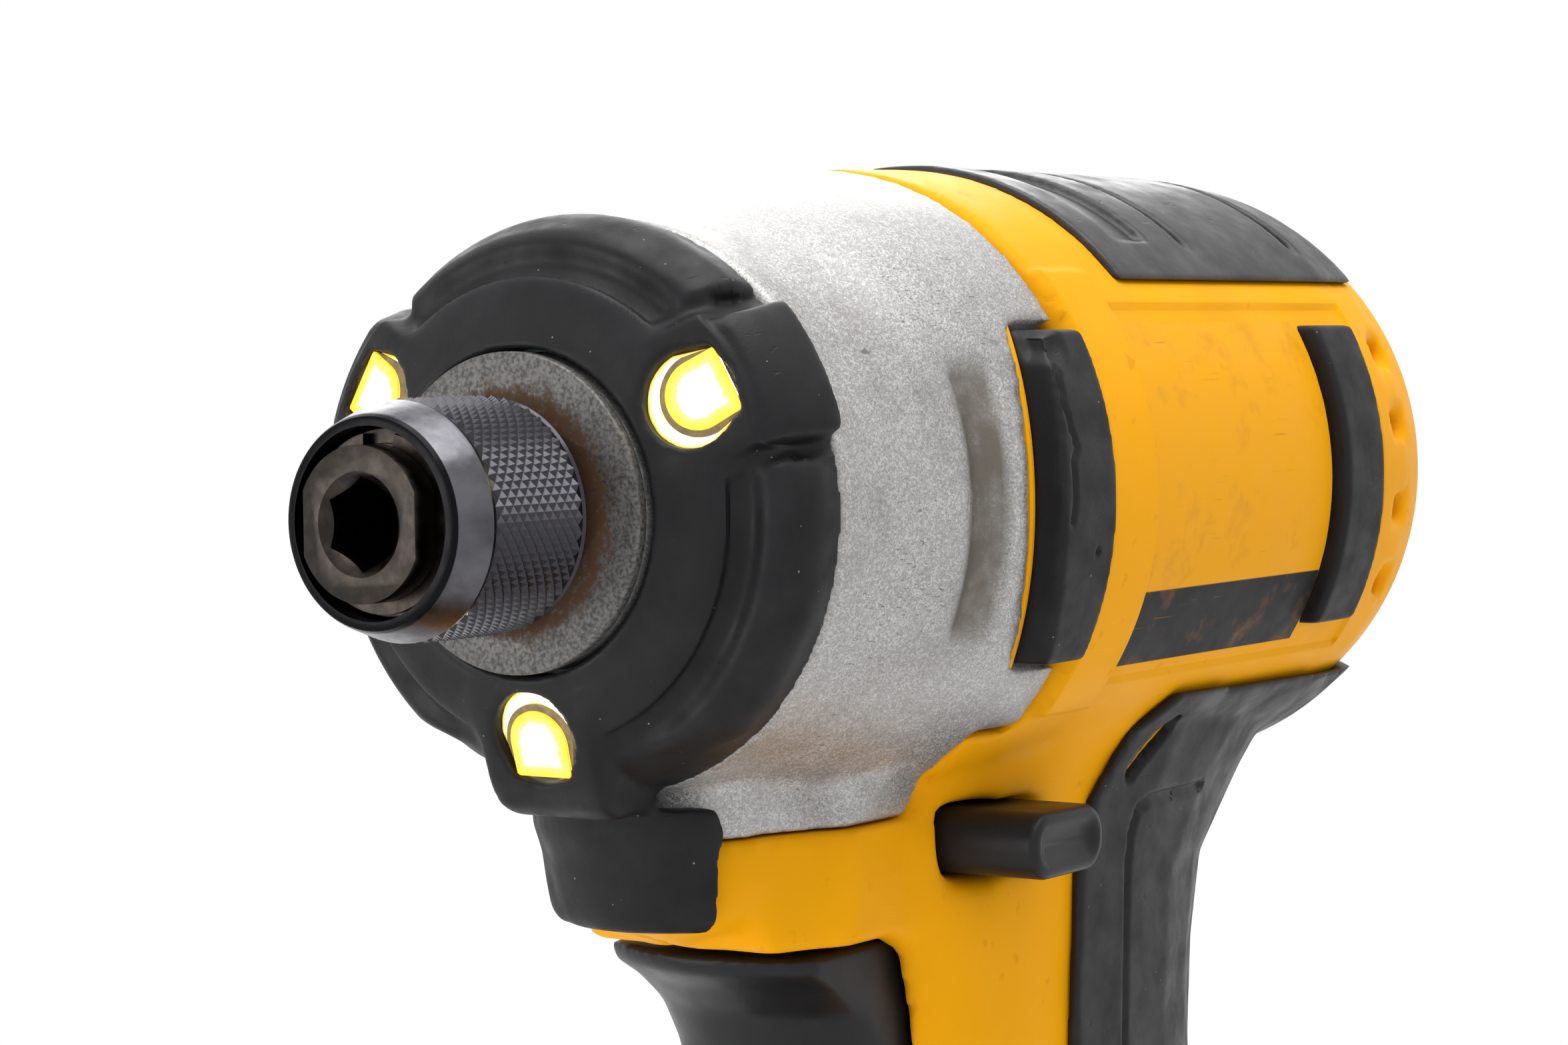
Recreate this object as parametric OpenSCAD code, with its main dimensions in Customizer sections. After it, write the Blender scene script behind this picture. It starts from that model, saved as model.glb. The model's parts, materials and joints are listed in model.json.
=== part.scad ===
// Impact driver with a slide-on pack, in millimetres.
// +X is forward along the tool axis, +Y is the left side, +Z is up.
// The origin lies on the pack's bottom face, below the middle of the head.
// Stations along the axis are distances back from the anvil's front face.

/* [Overall] */
// Room behind the rotor shaft, with the rear wall
rear_room = 7.6; // [6:0.1:9]
// Height of the tool axis above the resting face
axis_h = 190; // [180:1:205]
// Wall of the plastic housings
wall = 2.8; // [2.2:0.1:3.2]
// Gap round a piece that is fixed in its seat
seat = 0.05; // [0.02:0.01:0.08]
// Radial gap round a shaft that runs in its bore
run = 0.05; // [0.02:0.01:0.08]
// Gap beside a piece that slides or swings
gap = 0.3; // [0.2:0.05:0.4]

/* [Bit holder] */
// Bit hex across its flats
hex_af = 6.35; // [6.3:0.01:6.4]
// Play of the bit in the socket
hex_play = 0.05; // [0.03:0.01:0.1]
// Depth of the hex socket
socket_depth = 18; // [14:0.5:20]
// Diameter of the anvil's front shank
shank_d = 12.3; // [11.8:0.1:12.8]
// Width across the shank's two flats
shank_flats = 11.2; // [10.8:0.1:11.5]
// Length of the shank
shank_len = 17.5; // [17:0.25:19]
// Radius of the lead-in at the socket's mouth
lead_in_r = 4.1; // [3.9:0.05:4.5]
// Setback of the sleeve's front edge
sleeve_set = 1.2; // [0.6:0.1:2]
// Length of the sleeve
sleeve_len = 15.7; // [14.5:0.1:15.8]
// Radius of the sleeve's front edge
sleeve_front_r = 8.5; // [8.3:0.1:9]
// Radius over the knurl
sleeve_r = 9.7; // [9.4:0.1:10.5]
// Length of the sleeve's plain front cone
sleeve_cone_len = 3.6; // [2.5:0.1:4.5]
// Travel of the sleeve
sleeve_travel = 3; // [2:0.25:3.25]
// Diameter of a detent ball
detent_d = 3.2; // [2.8:0.1:3.4]
// Wire of the sleeve spring
sleeve_wire = 0.7; // [0.5:0.1:0.8]

/* [Gear case] */
// Radius of the anvil's journal
journal_r = 7.5; // [7:0.1:8]
// Length of the journal, from the shank to the lugs
journal_len = 17; // [16.5:0.25:18]
// Wall of the nose bushing
bushing_wall = 2.4; // [1.5:0.1:3]
// Radius of the gear case's nose
nose_r = 13; // [12.6:0.1:13.4]
// Radius of the nose washer
nose_washer_r = 13.15; // [13:0.05:13.4]
// Thickness of the nose washer
nose_washer_t = 1.2; // [0.8:0.1:1.4]
// Station of the boot's rear edge
boot_end = 31; // [30:0.5:32]
// Station of the seam between gear case and housing
case_end = 64; // [63:0.5:65]
// Gear case radius at the boot
case_front_r = 24.2; // [24:0.1:25]
// Gear case radius at the seam
case_rear_r = 29.2; // [28.8:0.1:29.6]
// Thickness of the rubber boot at its rear edge
boot_t = 2; // [1.6:0.1:2.4]

/* [Hammer] */
// Radius of the hammer
hammer_r = 19.5; // [18.5:0.1:20]
// Length of the hammer's body
hammer_len = 22.7; // [21:0.1:23]
// Travel of the hammer
hammer_travel = 7; // [5:0.25:7.5]
// Length of the blows' lugs
lug_len = 6.4; // [5:0.1:7]
// Outer radius of the anvil's lugs
lug_r = 16.5; // [15:0.1:17.5]
// Width of the anvil's lugs
lug_w = 9; // [7:0.1:10]
// Radius of the spindle's shaft
spindle_r = 7; // [6.5:0.1:7.2]
// Radius of the spindle's front pilot
pilot_r = 4; // [3.5:0.1:4.5]
// Diameter of a cam ball
cam_ball_d = 4; // [3.5:0.1:4.2]
// Wire of the hammer spring
hammer_wire = 2.6; // [2:0.1:2.8]
// Mean radius of the hammer spring
hammer_spring_r = 13.6; // [13.2:0.1:14]

/* [Gears] */
// Gear module
gear_m = 0.65; // [0.6:0.01:0.68]
// Teeth on the motor's pinion
sun_teeth = 12; // [12:12:12]
// Teeth on each planet gear
planet_teeth = 24; // [24:12:24]
// Thickness of the planet gears
planet_t = 6; // [5:0.1:6.5]
// Radius of a planet pin
planet_pin_r = 2; // [1.5:0.1:2.5]
// Wall of the ring gear outside its tooth roots
ring_wall = 2.7; // [2.4:0.1:2.8]

/* [Motor] */
// Outer radius of the field ring
can_r = 24.5; // [24:0.1:24.8]
// Wall of the field ring
can_wall = 1.9; // [1.5:0.1:2.2]
// Length of the field ring
can_len = 22; // [20:0.5:22]
// Thickness of the magnets
magnet_t = 3.2; // [2.5:0.1:3.4]
// Gap between armature and magnets
air_gap = 0.7; // [0.5:0.1:1]
// Length of the armature stack
stack_len = 16; // [14:0.5:16]
// Radius of the rotor shaft
rotor_r = 2.5; // [2.2:0.1:2.8]
// Radius of the commutator
commutator_r = 7.5; // [7:0.1:8]
// Radius of the fan
fan_r = 21; // [19:0.5:22]
// Number of fan blades
fan_blades = 12; // [8:1:14]

/* [Head shell] */
// Largest radius of the yellow shell
head_r = 29.6; // [29.4:0.1:30]
// Radius at the rear face
rear_r = 24.4; // [24:0.1:25]
// Radius over the black top pad
pad_r = 30.15; // [30.1:0.05:30.6]
// Depth of the top pad's seat
pad_depth = 0.8; // [0.6:0.1:1]
// Height of the top pad's lower edges above the axis
pad_low = 18.9; // [17:0.1:21]
// Radius over the front side bumpers
front_bumper_r = 31.2; // [30.5:0.1:31.6]
// Half height of the front side bumpers
front_bumper_h = 14.4; // [12:0.1:15]
// Radius over the rear side bumpers
rear_bumper_r = 31; // [30.4:0.1:31.4]
// Half height of the rear side bumpers
rear_bumper_h = 14.6; // [12:0.1:15]
// Depth of the label panels
label_depth = 0.7; // [0.5:0.1:0.9]

/* [Controls] */
// Half width of the trigger
trigger_hw = 11; // [10:0.1:11.5]
// Travel of the trigger
trigger_travel = 6; // [4:0.25:6.5]
// Height of the trigger
trigger_h = 33; // [30:0.5:34]
// Width of the selector along the tool
selector_w = 12.5; // [11:0.1:13]
// Height of the selector
selector_h = 6; // [5:0.1:6.4]
// Travel of the selector from side to side
selector_travel = 8; // [6:0.25:8.5]
// Reach of the selector from the middle, each way
selector_reach = 24.2; // [23:0.1:25]

/* [Foot and pack] */
// Height of the pack's top face, which is the foot's lower face
pack_h = 46; // [44:0.5:48]
// Length of the pack
pack_len = 110; // [106:0.5:112]
// Half width of the pack
pack_hw = 38; // [37.5:0.1:40]
// Station of the pack's rear face
pack_rear = 132.5; // [131.5:0.5:134]
// Wall of the pack's cases
pack_wall = 2.4; // [2:0.1:3]
// Corner radius of the pack
pack_corner = 9; // [6:0.5:10]
// Half width of the rail's stem
rail_hw = 19; // [17:0.5:20]
// Overhang of the rail's flange
rail_lip = 3; // [2.4:0.1:3.5]
// Length of the slide that frees the pack
pack_travel = 60; // [50:1:70]
// Diameter of a cell
cell_d = 18.3; // [18:0.1:18.5]
// Number of cells
cell_count = 5; // [5:1:5]
// Travel of the latch button
latch_travel = 4; // [3:0.25:4]
// Hole for a belt hook screw, radius
hook_r = 1.65; // [1.5:0.05:2]
// Depth of the belt hook hole
hook_depth = 8; // [6:0.5:9]

/* [Hidden] */
$fn = 64;
socket_af = hex_af + 2 * hex_play;

// Bit holder stations
shank_r = shank_d / 2;
sleeve_end = sleeve_set + sleeve_len;
detent_at = sleeve_set + 10.3;
detent_r = detent_d / 2;
detent_orbit = shank_r - detent_r - run;
land_front = detent_at - 1.6;
land_end = detent_at + 1.6;
sleeve_mouth_r = sleeve_front_r - 0.9;
ring_front_at = sleeve_set + 1.2;
ring_t = 0.9;
sleeve_washer_t = 0.8;
sleeve_spring_front = ring_front_at + ring_t + sleeve_washer_t + 2 * seat;
sleeve_spring_len = land_front - sleeve_spring_front - 2 * seat;

// Nose stations
washer_front = sleeve_end + 1.55;
washer_end = washer_front + nose_washer_t;
seal_t = 1.6;
bushing_r = journal_r + bushing_wall;
bushing_front = washer_end + seal_t + 2 * seat;
thrust_t = 0.85;
lug_front = shank_len + journal_len;
bushing_end = lug_front - thrust_t - run;
lug_end = lug_front + lug_len;

// Hammer and spindle stations
hammer_front = lug_end + gap;
hammer_end = hammer_front + hammer_len;
hammer_seat = hammer_front + 6;
hammer_pocket = [hammer_spring_r - hammer_wire / 2 - 0.8, hammer_spring_r + hammer_wire / 2 + 0.8];
cam_ball_r = cam_ball_d / 2;
cam_ball_at = hammer_front + hammer_travel + cam_ball_r + 1.6;
carrier_front = hammer_end + hammer_travel + 0.6;
carrier_r = hammer_spring_r + 2.8;
disc_t = 2.6;
side_play = 0.2;
planet_front = carrier_front + disc_t + side_play;
planet_end = planet_front + planet_t;
carrier_end = planet_end + side_play + disc_t;
spring_washer_t = 1.4;
hammer_spring_end = carrier_front - spring_washer_t - 2 * seat;
hammer_spring_front = hammer_seat + seat;

// Gear stations
ring_teeth = sun_teeth + 2 * planet_teeth;
gear_orbit = gear_m * (sun_teeth + planet_teeth) / 2;
ring_root_r = gear_m * (ring_teeth / 2 + 1.25);
ring_r = ring_root_r + ring_wall;
ring_front = planet_front - 1;
ring_end = planet_end + 1;
pinion_tip_r = gear_m * (sun_teeth / 2 + 0.9);
pinion_end = carrier_end - 1;

// Gear case and motor stations
seam = 0.2;
case_bore_r = hammer_r + 0.7;
head_bore_r = head_r - wall - 0.2;
spigot_r = head_bore_r - 0.15;
rib_at = case_end + 4;
rib_t = 2;
rib_h = 1.2;
plate_front = carrier_end + 0.6;
hub_r = pinion_tip_r + 4.4;
spindle_bearing_r = hub_r + 5.5;
plate_web = plate_front + 3.8;
rotor_bearing_r = 7;
rotor_bearing_t = 3.5;
plate_end = plate_web + 1.5 + rotor_bearing_t;
fan_front = plate_end + 0.6;
fan_len = 4.2;
can_front = fan_front + fan_len + 1.1;
can_end = can_front + can_len;
stack_front = can_front + (can_len - stack_len) / 2;
stack_end = stack_front + stack_len;
magnet_r = can_r - can_wall - seat;
stack_r = magnet_r - magnet_t - air_gap;
commutator_front = can_end + 0.6;
commutator_len = 6.5;
rear_bearing_front = commutator_front + commutator_len + 1.6;
rear_bearing_t = 4;
rear_bearing_r = 6.5;
web_front = rear_bearing_front + 0.4;
web_end = rear_bearing_front + rear_bearing_t - 0.6;
shaft_end = rear_bearing_front + rear_bearing_t + 0.3;
overall_len = shaft_end + rear_room;
nose_x = overall_len / 2;
card_t = 1.5;
card_tab_low = 24.5;

// Outlines of revolution, as [station, radius]
case_outer = [[boot_end, case_front_r], [boot_end + 4, case_front_r + 0.3], [boot_end + 9, case_front_r + 1.2],
    [boot_end + 14, case_front_r + 2.55], [boot_end + 19, case_front_r + 3.6],
    [case_end - 9, case_rear_r - 0.6], [case_end - 4, case_rear_r - 0.2], [case_end, case_rear_r]];
head_outer = [[case_end + seam, case_rear_r + 0.1], [case_end + 11, head_r], [overall_len - 20, head_r],
    [overall_len - 13, head_r - 0.6], [overall_len - 7, head_r - 2], [overall_len - 3, head_r - 3.8],
    [overall_len, rear_r]];

// Lower body, heights below the axis and stations of front and rear
foot_low = axis_h - pack_h - gap;
rail_step = 4;
rail_h = 9;
roof_t = 2.2;
foot_floor = foot_low + gap - rail_h - gap - roof_t;
keel_low = 28.2;
jaw_low = 38.7;
jaw_hw = 13.6;
keel_hw = 13.2;
trigger_top = jaw_low + 0.8;
trigger_mid = trigger_top + trigger_h / 2;
trigger_rear = 62;
switch_front = trigger_rear + trigger_travel + 2;
switch_hw = trigger_hw;
switch_len = 24;
stem_r = 3.5;
stem_end = switch_front + 10;
trigger_spring_front = trigger_rear - 8;
selector_front = 61;
selector_top = 28;
// Height below the axis at a share of the way from the handle's upper part down to the foot
upper_low = 46;
function down(share) = upper_low + share * (foot_low - upper_low);
// Stations of the handle: height below the axis, front, rear, half width, squareness in front and behind
HANDLE = [[9, 64, overall_len - 6, 17, 2.6, 2.4], [17, 60, overall_len - 2, 20.4, 2.6, 2.8],
    [30, 55, overall_len - 10, 17.5, 5.5, 2.1], [38, 56, overall_len - 20, 17.2, 5.5, 2.1],
    [upper_low, 57.5, 116.3, 17, 4.2, 2.4], [down(0.102), 58, 114.4, 16.8, 3.2, 2.6],
    [down(0.225), 61, 113.5, 16.6, 3.2, 3], [down(0.348), 67, 113.5, 16.6, 3, 3],
    [down(0.5), 73.5, 114.5, 16.8, 2.8, 2.8], [down(0.635), 73, 117, 18.5, 2.8, 2.8],
    [down(0.737), 69, 122, 24, 3.2, 3.2], [down(0.81), 63, 128, 32, 4, 4], [down(0.86), 60, 131, 36, 5, 5],
    [foot_low, 59, 132, 37, 6, 6]];
cavity_top = 37;
RING_STEPS = 12;
TURN_STEPS = 12;

// Screws of the clamshell, as [station, height below the axis, length of the boss on each side]
SCREWS = [[overall_len - 5, -12, 20], [overall_len - 5, 12, 20], [53, 33.6, 0], [107, 48, 10.5],
    [82, down(0.532), 11.5], [105, down(0.532), 11.5], [72, down(0.819), 20], [116, down(0.757), 13]];
screw_r = 1.5;
screw_head_r = 3;
screw_head_t = 2.5;
screw_seat_y = 9.5;
screw_tip_y = 11;
boss_r = 4.8;

// Leads, as [station, height above the resting face], one on each side of the middle
lead_r = 1.2;
lead_side = 5;
floor_z = axis_h - foot_floor;
switch_top = axis_h - trigger_top - 0.5;
switch_h = 27;
terminal_h = 6;
terminal_top = floor_z + seat + terminal_h;
lead_rise = switch_top - switch_h - terminal_top;
BATTERY_LEAD = [[104, terminal_top + seat], [104, terminal_top + 3], [95, terminal_top + 0.31 * lead_rise],
    [93.5, terminal_top + 0.613 * lead_rise], [89.5, terminal_top + 0.815 * lead_rise],
    [88, switch_top - switch_h - 3], [88, switch_top - switch_h - seat]];
MOTOR_LEAD = [[90, switch_top + seat], [90, switch_top + 2.5], [94, switch_top + 5], [106, switch_top + 6.5],
    [116, switch_top + 7.5], [122, switch_top + 9.5],
    [124.3, axis_h - card_tab_low - 2.6], [124.3, axis_h - card_tab_low - seat]];

// Pack
pack_front = pack_rear - pack_len;
cell_room = 3.1;
cell_len = 2 * (pack_hw - pack_wall - cell_room);
pack_split = cell_d + pack_wall + 3;
rail_front = 70;
rail_rear = 118;
blade_side = 8;
blade_t = 0.8;
latch_hw = 10;
latch_front = pack_front + 14;
latch_end = latch_front + 26;
latch_h = 12;
latch_tooth_front = latch_end - 4;
latch_tooth_h = 3;
latch_spring_r = 3;
latch_spring_len = latch_travel + 3.5;
latch_wire = 0.7;
hook_at = 95;
hook_low = foot_low - 8;
hook_pad_y = 37.3;

// Frame of the tool: stations back from the nose, side to the left, height from the axis
module tool() translate([nose_x, 0, axis_h]) mirror([1, 0, 0]) children();

// Same frame with heights counted from the resting face
module bench() translate([nose_x, 0, 0]) mirror([1, 0, 0]) children();

// Solid of revolution about the tool axis from [station, radius] points
module turned(points) tool() rotate([0, 90, 0]) rotate_extrude() polygon([for (p = points) [p[1], p[0]]]);

// Plain ring about the tool axis
module ring(front, end, inner, outer)
    turned([[front, inner], [front, outer], [end, outer], [end, inner]]);

// Solid rod about the tool axis
module rod(front, end, r) tool() translate([front, 0, 0]) rotate([0, 90, 0]) cylinder(h = end - front, r = r);

// Side outline in stations and heights, as thick as its half width on both sides
module side(points, half_width)
    tool() rotate([90, 0, 0]) linear_extrude(2 * half_width, center = true) polygon(points);

// Box between two corners in the tool frame
module block(low, high) tool() translate(low) cube(high - low);

// Box between two corners, with heights from the resting face
module bench_block(low, high) bench() translate(low) cube(high - low);

// Turns children about the tool axis, from the left side upwards
module around(angle) translate([0, 0, axis_h]) rotate([angle, 0, 0]) translate([0, 0, -axis_h]) children();

// Rod from side to side in the tool frame
module cross_rod(station, height, y0, y1, r)
    tool() translate([station, y0, height]) rotate([-90, 0, 0]) cylinder(h = y1 - y0, r = r);

// Points of a helix along +Z that fills the length with its wire
function helix(r, wire, length, turns) =
    [for (i = [0 : TURN_STEPS * turns]) [r * cos(360 / TURN_STEPS * i), r * sin(360 / TURN_STEPS * i),
        wire / 2 + (length - wire) * i / (TURN_STEPS * turns)]];

// Least gap between neighbouring curls, measured on the helix points
function least_gap(path, wire) = min([for (i = [0 : len(path) - 1 - TURN_STEPS]) norm(path[i + TURN_STEPS] - path[i])]) - wire;

// Tangent of a path at one of its points
function heading(path, i) = path[min(i + 1, len(path) - 1)] - path[max(i - 1, 0)];

// Ring of points round a path point, square to the path
function tube_ring(path, i, r, sides, guide) =
    let (t = heading(path, i) / norm(heading(path, i)),
         u = cross(t, guide) / norm(cross(t, guide)),
         v = cross(t, u))
    [for (k = [0 : sides - 1]) path[i] + r * (cos(360 * k / sides) * u + sin(360 * k / sides) * v)];

// Closed skin over rings of equal counts, side faces as triangles
module skin(rings) {
    n = len(rings[0]);
    last = len(rings) - 1;
    points = [for (ring_points = rings, p = ring_points) p];
    sides = [for (i = [0 : last - 1], k = [0 : n - 1])
        let (a = i * n + k, b = i * n + (k + 1) % n)
        each [[a, b + n, b], [a, a + n, b + n]]];
    caps = [[for (k = [0 : n - 1]) k], [for (k = [0 : n - 1]) last * n + n - 1 - k]];
    polyhedron(points = points, faces = concat(sides, caps), convexity = 6);
}

// Round tube along a path
module tube(path, r, sides, guide) skin([for (i = [0 : len(path) - 1]) tube_ring(path, i, r, sides, guide)]);

// Wound wire spring along the tool axis
module coil(front, length, r, wire, turns) {
    path = helix(r, wire, length, turns);
    echo(str("least gap between curls: ", least_gap(path, wire)));
    tool() translate([front, 0, 0]) rotate([0, 90, 0]) tube(path, wire / 2, 6, [0, 0, 1]);
}

// Involute of an angle, in degrees
function involute(a) = tan(a) * 180 / PI - a;

// Half angle of a tooth at a radius
function tooth_half(teeth, m, r, width) =
    let (pitch_r = teeth * m / 2, base_r = pitch_r * cos(20))
    90 / teeth * width + involute(20) - involute(acos(min(1, base_r / max(r, base_r))));

// Outline of a gear with a tooth towards +X
module gear_outline(teeth, m, above, below, width) {
    pitch_r = teeth * m / 2;
    radii = [pitch_r - below * m, pitch_r - 0.3 * below * m, pitch_r, pitch_r + 0.5 * above * m, pitch_r + above * m];
    last = len(radii) - 1;
    polygon([for (i = [0 : teeth - 1], k = [0 : 2 * last + 1])
        let (j = k <= last ? k : 2 * last + 1 - k,
             turn = (k <= last ? -1 : 1) * tooth_half(teeth, m, radii[j], width),
             a = 360 * i / teeth + turn)
        radii[j] * [cos(a), sin(a)]]);
}

// Gear outline drawn out along the tool axis, with a tooth towards the left side
module gear_bar(front, end, offset_y, phase, teeth, above, below, width)
    tool() translate([front, offset_y, 0]) rotate([0, 90, 0]) rotate([0, 0, 90 + phase])
        linear_extrude(end - front) gear_outline(teeth, gear_m, above, below, width);

// Rod along the tool axis, off to one side
module side_rod(front, end, y, z, r)
    tool() translate([front, y, z]) rotate([0, 90, 0]) cylinder(h = end - front, r = r);

module anvil() {
    color("#5a4e44") difference() {
        union() {
            rod(0, shank_len, shank_r);
            rod(shank_len, lug_end, journal_r);
            rod(lug_front, lug_end, journal_r + 1);
            intersection() {
                rod(lug_front, lug_end, lug_r);
                block([lug_front, -lug_w / 2, -lug_r], [lug_end, lug_w / 2, lug_r]);
            }
        }
        tool() translate([-1, 0, 0]) rotate([0, 90, 0])
            cylinder(h = socket_depth + 1, r = socket_af / 2 / cos(30), $fn = 6);
        turned([[-0.5, 0], [-0.5, lead_in_r + 0.5], [lead_in_r - socket_af / 2, socket_af / 2],
            [lead_in_r - socket_af / 2, 0]]);
        for (s = [-1, 1])
            block([-1, min(s * shank_flats / 2, s * shank_d), -shank_d],
                [sleeve_set + sleeve_cone_len, max(s * shank_flats / 2, s * shank_d), shank_d]);
        tool() translate([detent_at, 0, 0]) cylinder(h = 2 * shank_r + 1, r = detent_r + run, center = true);
        ring(ring_front_at, ring_front_at + ring_t, shank_r - 0.6, shank_r + 1);
        rod(lug_end - 7, lug_end + 1, pilot_r + run);
    }
}

module detent_balls()
    color("silver") for (s = [-1, 1]) tool() translate([detent_at, 0, s * detent_orbit]) sphere(r = detent_r);

module bit_sleeve()
    color("#55565c") turned([[sleeve_set, sleeve_mouth_r], [sleeve_set, sleeve_front_r],
        [sleeve_set + sleeve_cone_len, sleeve_r - 0.2], [sleeve_set + sleeve_cone_len + 0.3, sleeve_r],
        [sleeve_end - 0.5, sleeve_r], [sleeve_end, sleeve_r - 0.5], [sleeve_end, shank_r + detent_r + gap],
        [land_end, shank_r + detent_r + gap], [land_end, shank_r + run], [land_front, shank_r + run],
        [land_front, sleeve_mouth_r]]);

module sleeve_spring()
    color("gray") coil(sleeve_spring_front + seat, sleeve_spring_len, (shank_r + sleeve_mouth_r) / 2, sleeve_wire, 2.5);

module sleeve_washer()
    color("dimgray") ring(ring_front_at + ring_t + seat, sleeve_spring_front - seat, shank_r + seat,
        sleeve_mouth_r - gap);

module retaining_ring()
    color("#3a3a3c") difference() {
        ring(ring_front_at + seat, ring_front_at + ring_t - seat, shank_r - 0.6 + seat, sleeve_mouth_r - gap - 0.2);
        block([ring_front_at - 1, -1.5, 0], [ring_front_at + ring_t + 1, 1.5, sleeve_r]);
    }

module nose_washer() color("#9a9a98") ring(washer_front, washer_end, journal_r + gap, nose_washer_r);

module nose_seal() color("#222222") ring(washer_end + seat, washer_end + seal_t, journal_r + 2 * run, bushing_r);

module anvil_bushing() color("#b08d57") ring(bushing_front, bushing_end, journal_r + run, bushing_r);

module thrust_washer()
    color("#8d8d8d") ring(bushing_end, bushing_end + thrust_t, journal_r + 2 * run, journal_r + 5.5);

module hammer() {
    color("#6d6a66") difference() {
        union() {
            rod(hammer_front, hammer_end, hammer_r);
            intersection() {
                ring(hammer_front - lug_len + 0.5, hammer_front, journal_r + 1.7, hammer_r - 1);
                block([hammer_front - lug_len, -hammer_r, -lug_w / 2], [hammer_front, hammer_r, lug_w / 2]);
            }
        }
        rod(hammer_front - 1, hammer_end + 1, spindle_r + run);
        ring(hammer_seat, hammer_end + 1, hammer_pocket[0], hammer_pocket[1]);
        for (s = [0, 180])
            around(s) block([cam_ball_at - hammer_travel - cam_ball_r - gap, 0, -cam_ball_r - gap],
                [cam_ball_at + cam_ball_r + gap, spindle_r + cam_ball_r + gap, cam_ball_r + gap]);
    }
}

module hammer_spring()
    color("#50535a") coil(hammer_spring_front, hammer_spring_end - hammer_spring_front, hammer_spring_r, hammer_wire, 4.5);

module spring_washer()
    color("#8d8d8d") ring(hammer_spring_end + seat, carrier_front - seat, hammer_pocket[0] + gap,
        hammer_pocket[1] - gap);

module cam_balls()
    color("silver") for (s = [-1, 1]) tool() translate([cam_ball_at, s * spindle_r, 0]) sphere(r = cam_ball_r);

module spindle() {
    color("#77736d") difference() {
        union() {
            rod(lug_end - 6.5, hammer_front + 1, pilot_r);
            rod(hammer_front, carrier_front + 1, spindle_r);
            rod(carrier_front, carrier_front + disc_t, carrier_r);
            rod(carrier_end - disc_t, carrier_end, carrier_r);
            rod(carrier_end - 1, plate_web - gap, hub_r);
            intersection() {
                rod(carrier_front, carrier_end, carrier_r);
                for (s = [0, 180])
                    around(90 + s) block([carrier_front, gear_m * planet_teeth / 2 + 1.2, -5], [carrier_end, carrier_r, 5]);
            }
        }
        for (s = [-1, 1]) {
            tool() translate([cam_ball_at, s * spindle_r, 0]) sphere(r = cam_ball_r + run);
            side_rod(carrier_front + disc_t - 2, carrier_end + 1, s * gear_orbit, 0, planet_pin_r + seat);
        }
        rod(planet_front - side_play, plate_web + 1, pinion_tip_r + 0.4);
    }
}

module planet_pins()
    color("silver") for (s = [-1, 1])
        side_rod(carrier_front + disc_t - 2 + seat, carrier_end - seat, s * gear_orbit, 0, planet_pin_r);

module planet_gear(s) difference() {
    gear_bar(planet_front, planet_end, s * gear_orbit, 0, planet_teeth, 0.75, 1.25, 0.84);
    side_rod(planet_front - 1, planet_end + 1, s * gear_orbit, 0, planet_pin_r + run);
}

module planet_gear_a() color("#8c8a86") planet_gear(1);

module planet_gear_b() color("#8c8a86") planet_gear(-1);

module ring_gear()
    color("#6f6c68") difference() {
        rod(ring_front, ring_end, ring_r);
        gear_bar(ring_front - 1, ring_end + 1, 0, 0, ring_teeth, 1.25, 0.85, 1.14);
    }

module spindle_bearing()
    color("#b9bcc0") ring(plate_front + seat, plate_web - seat, hub_r + run, spindle_bearing_r);

module motor_plate() {
    color("#3b3d40") difference() {
        turned([[plate_front, spindle_bearing_r + seat], [plate_front, spigot_r], [plate_web + 1.5, spigot_r],
            [plate_web + 1.5, rotor_bearing_r + 2.5], [plate_end, rotor_bearing_r + 2.5],
            [plate_end, rotor_bearing_r + seat], [plate_web + 1.5, rotor_bearing_r + seat],
            [plate_web + 1.5, rotor_r + 2.5], [plate_web, rotor_r + 2.5], [plate_web, spindle_bearing_r + seat]]);
        plate_screw_places() side_rod(plate_front - 1, plate_end, plate_screw_orbit, 0, plate_screw_r + seat);
    }
}

plate_screw_r = 1;
plate_screw_orbit = ring_r + 1.3;
plate_screw_reach = 7;

// Places of the three screws that hold the motor plate
module plate_screw_places() for (angle = [90 : 120 : 330]) around(angle) children();

module plate_screws()
    color("#2e2e30") plate_screw_places() {
        side_rod(plate_front - plate_screw_reach, plate_web + 1.6, plate_screw_orbit, 0, plate_screw_r);
        side_rod(plate_web + 1.5 + seat, plate_web + 3, plate_screw_orbit, 0, plate_screw_r + 0.8);
    }

module rotor_front_bearing()
    color("#b9bcc0") ring(plate_web + 1.5 + seat, plate_end - seat, rotor_r + run, rotor_bearing_r);

module rotor_shaft()
    color("#a5a7aa") union() {
        gear_bar(planet_front + 0.1, pinion_end, 0, 180 / sun_teeth, sun_teeth, 0.85, 1.25, 0.84);
        rod(pinion_end - 0.5, shaft_end, rotor_r);
    }

module cooling_fan()
    color("#2a2a2c") difference() {
        union() {
            rod(fan_front, fan_front + 1, fan_r);
            rod(fan_front, fan_front + fan_len, rotor_r + 3.5);
            for (i = [0 : fan_blades - 1])
                around(360 * i / fan_blades)
                    block([fan_front, rotor_r + 2.5, -0.4], [fan_front + fan_len, fan_r - 0.2, 0.4]);
        }
        rod(fan_front - 1, fan_front + fan_len + 1, rotor_r + seat);
    }

module armature()
    color("#7c7f84") difference() {
        ring(stack_front, stack_end, rotor_r + seat, stack_r);
        for (i = [0 : 11])
            around(30 * i + 15) block([stack_front - 1, stack_r - 4, -0.6], [stack_end + 1, stack_r + 1, 0.6]);
    }

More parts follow.
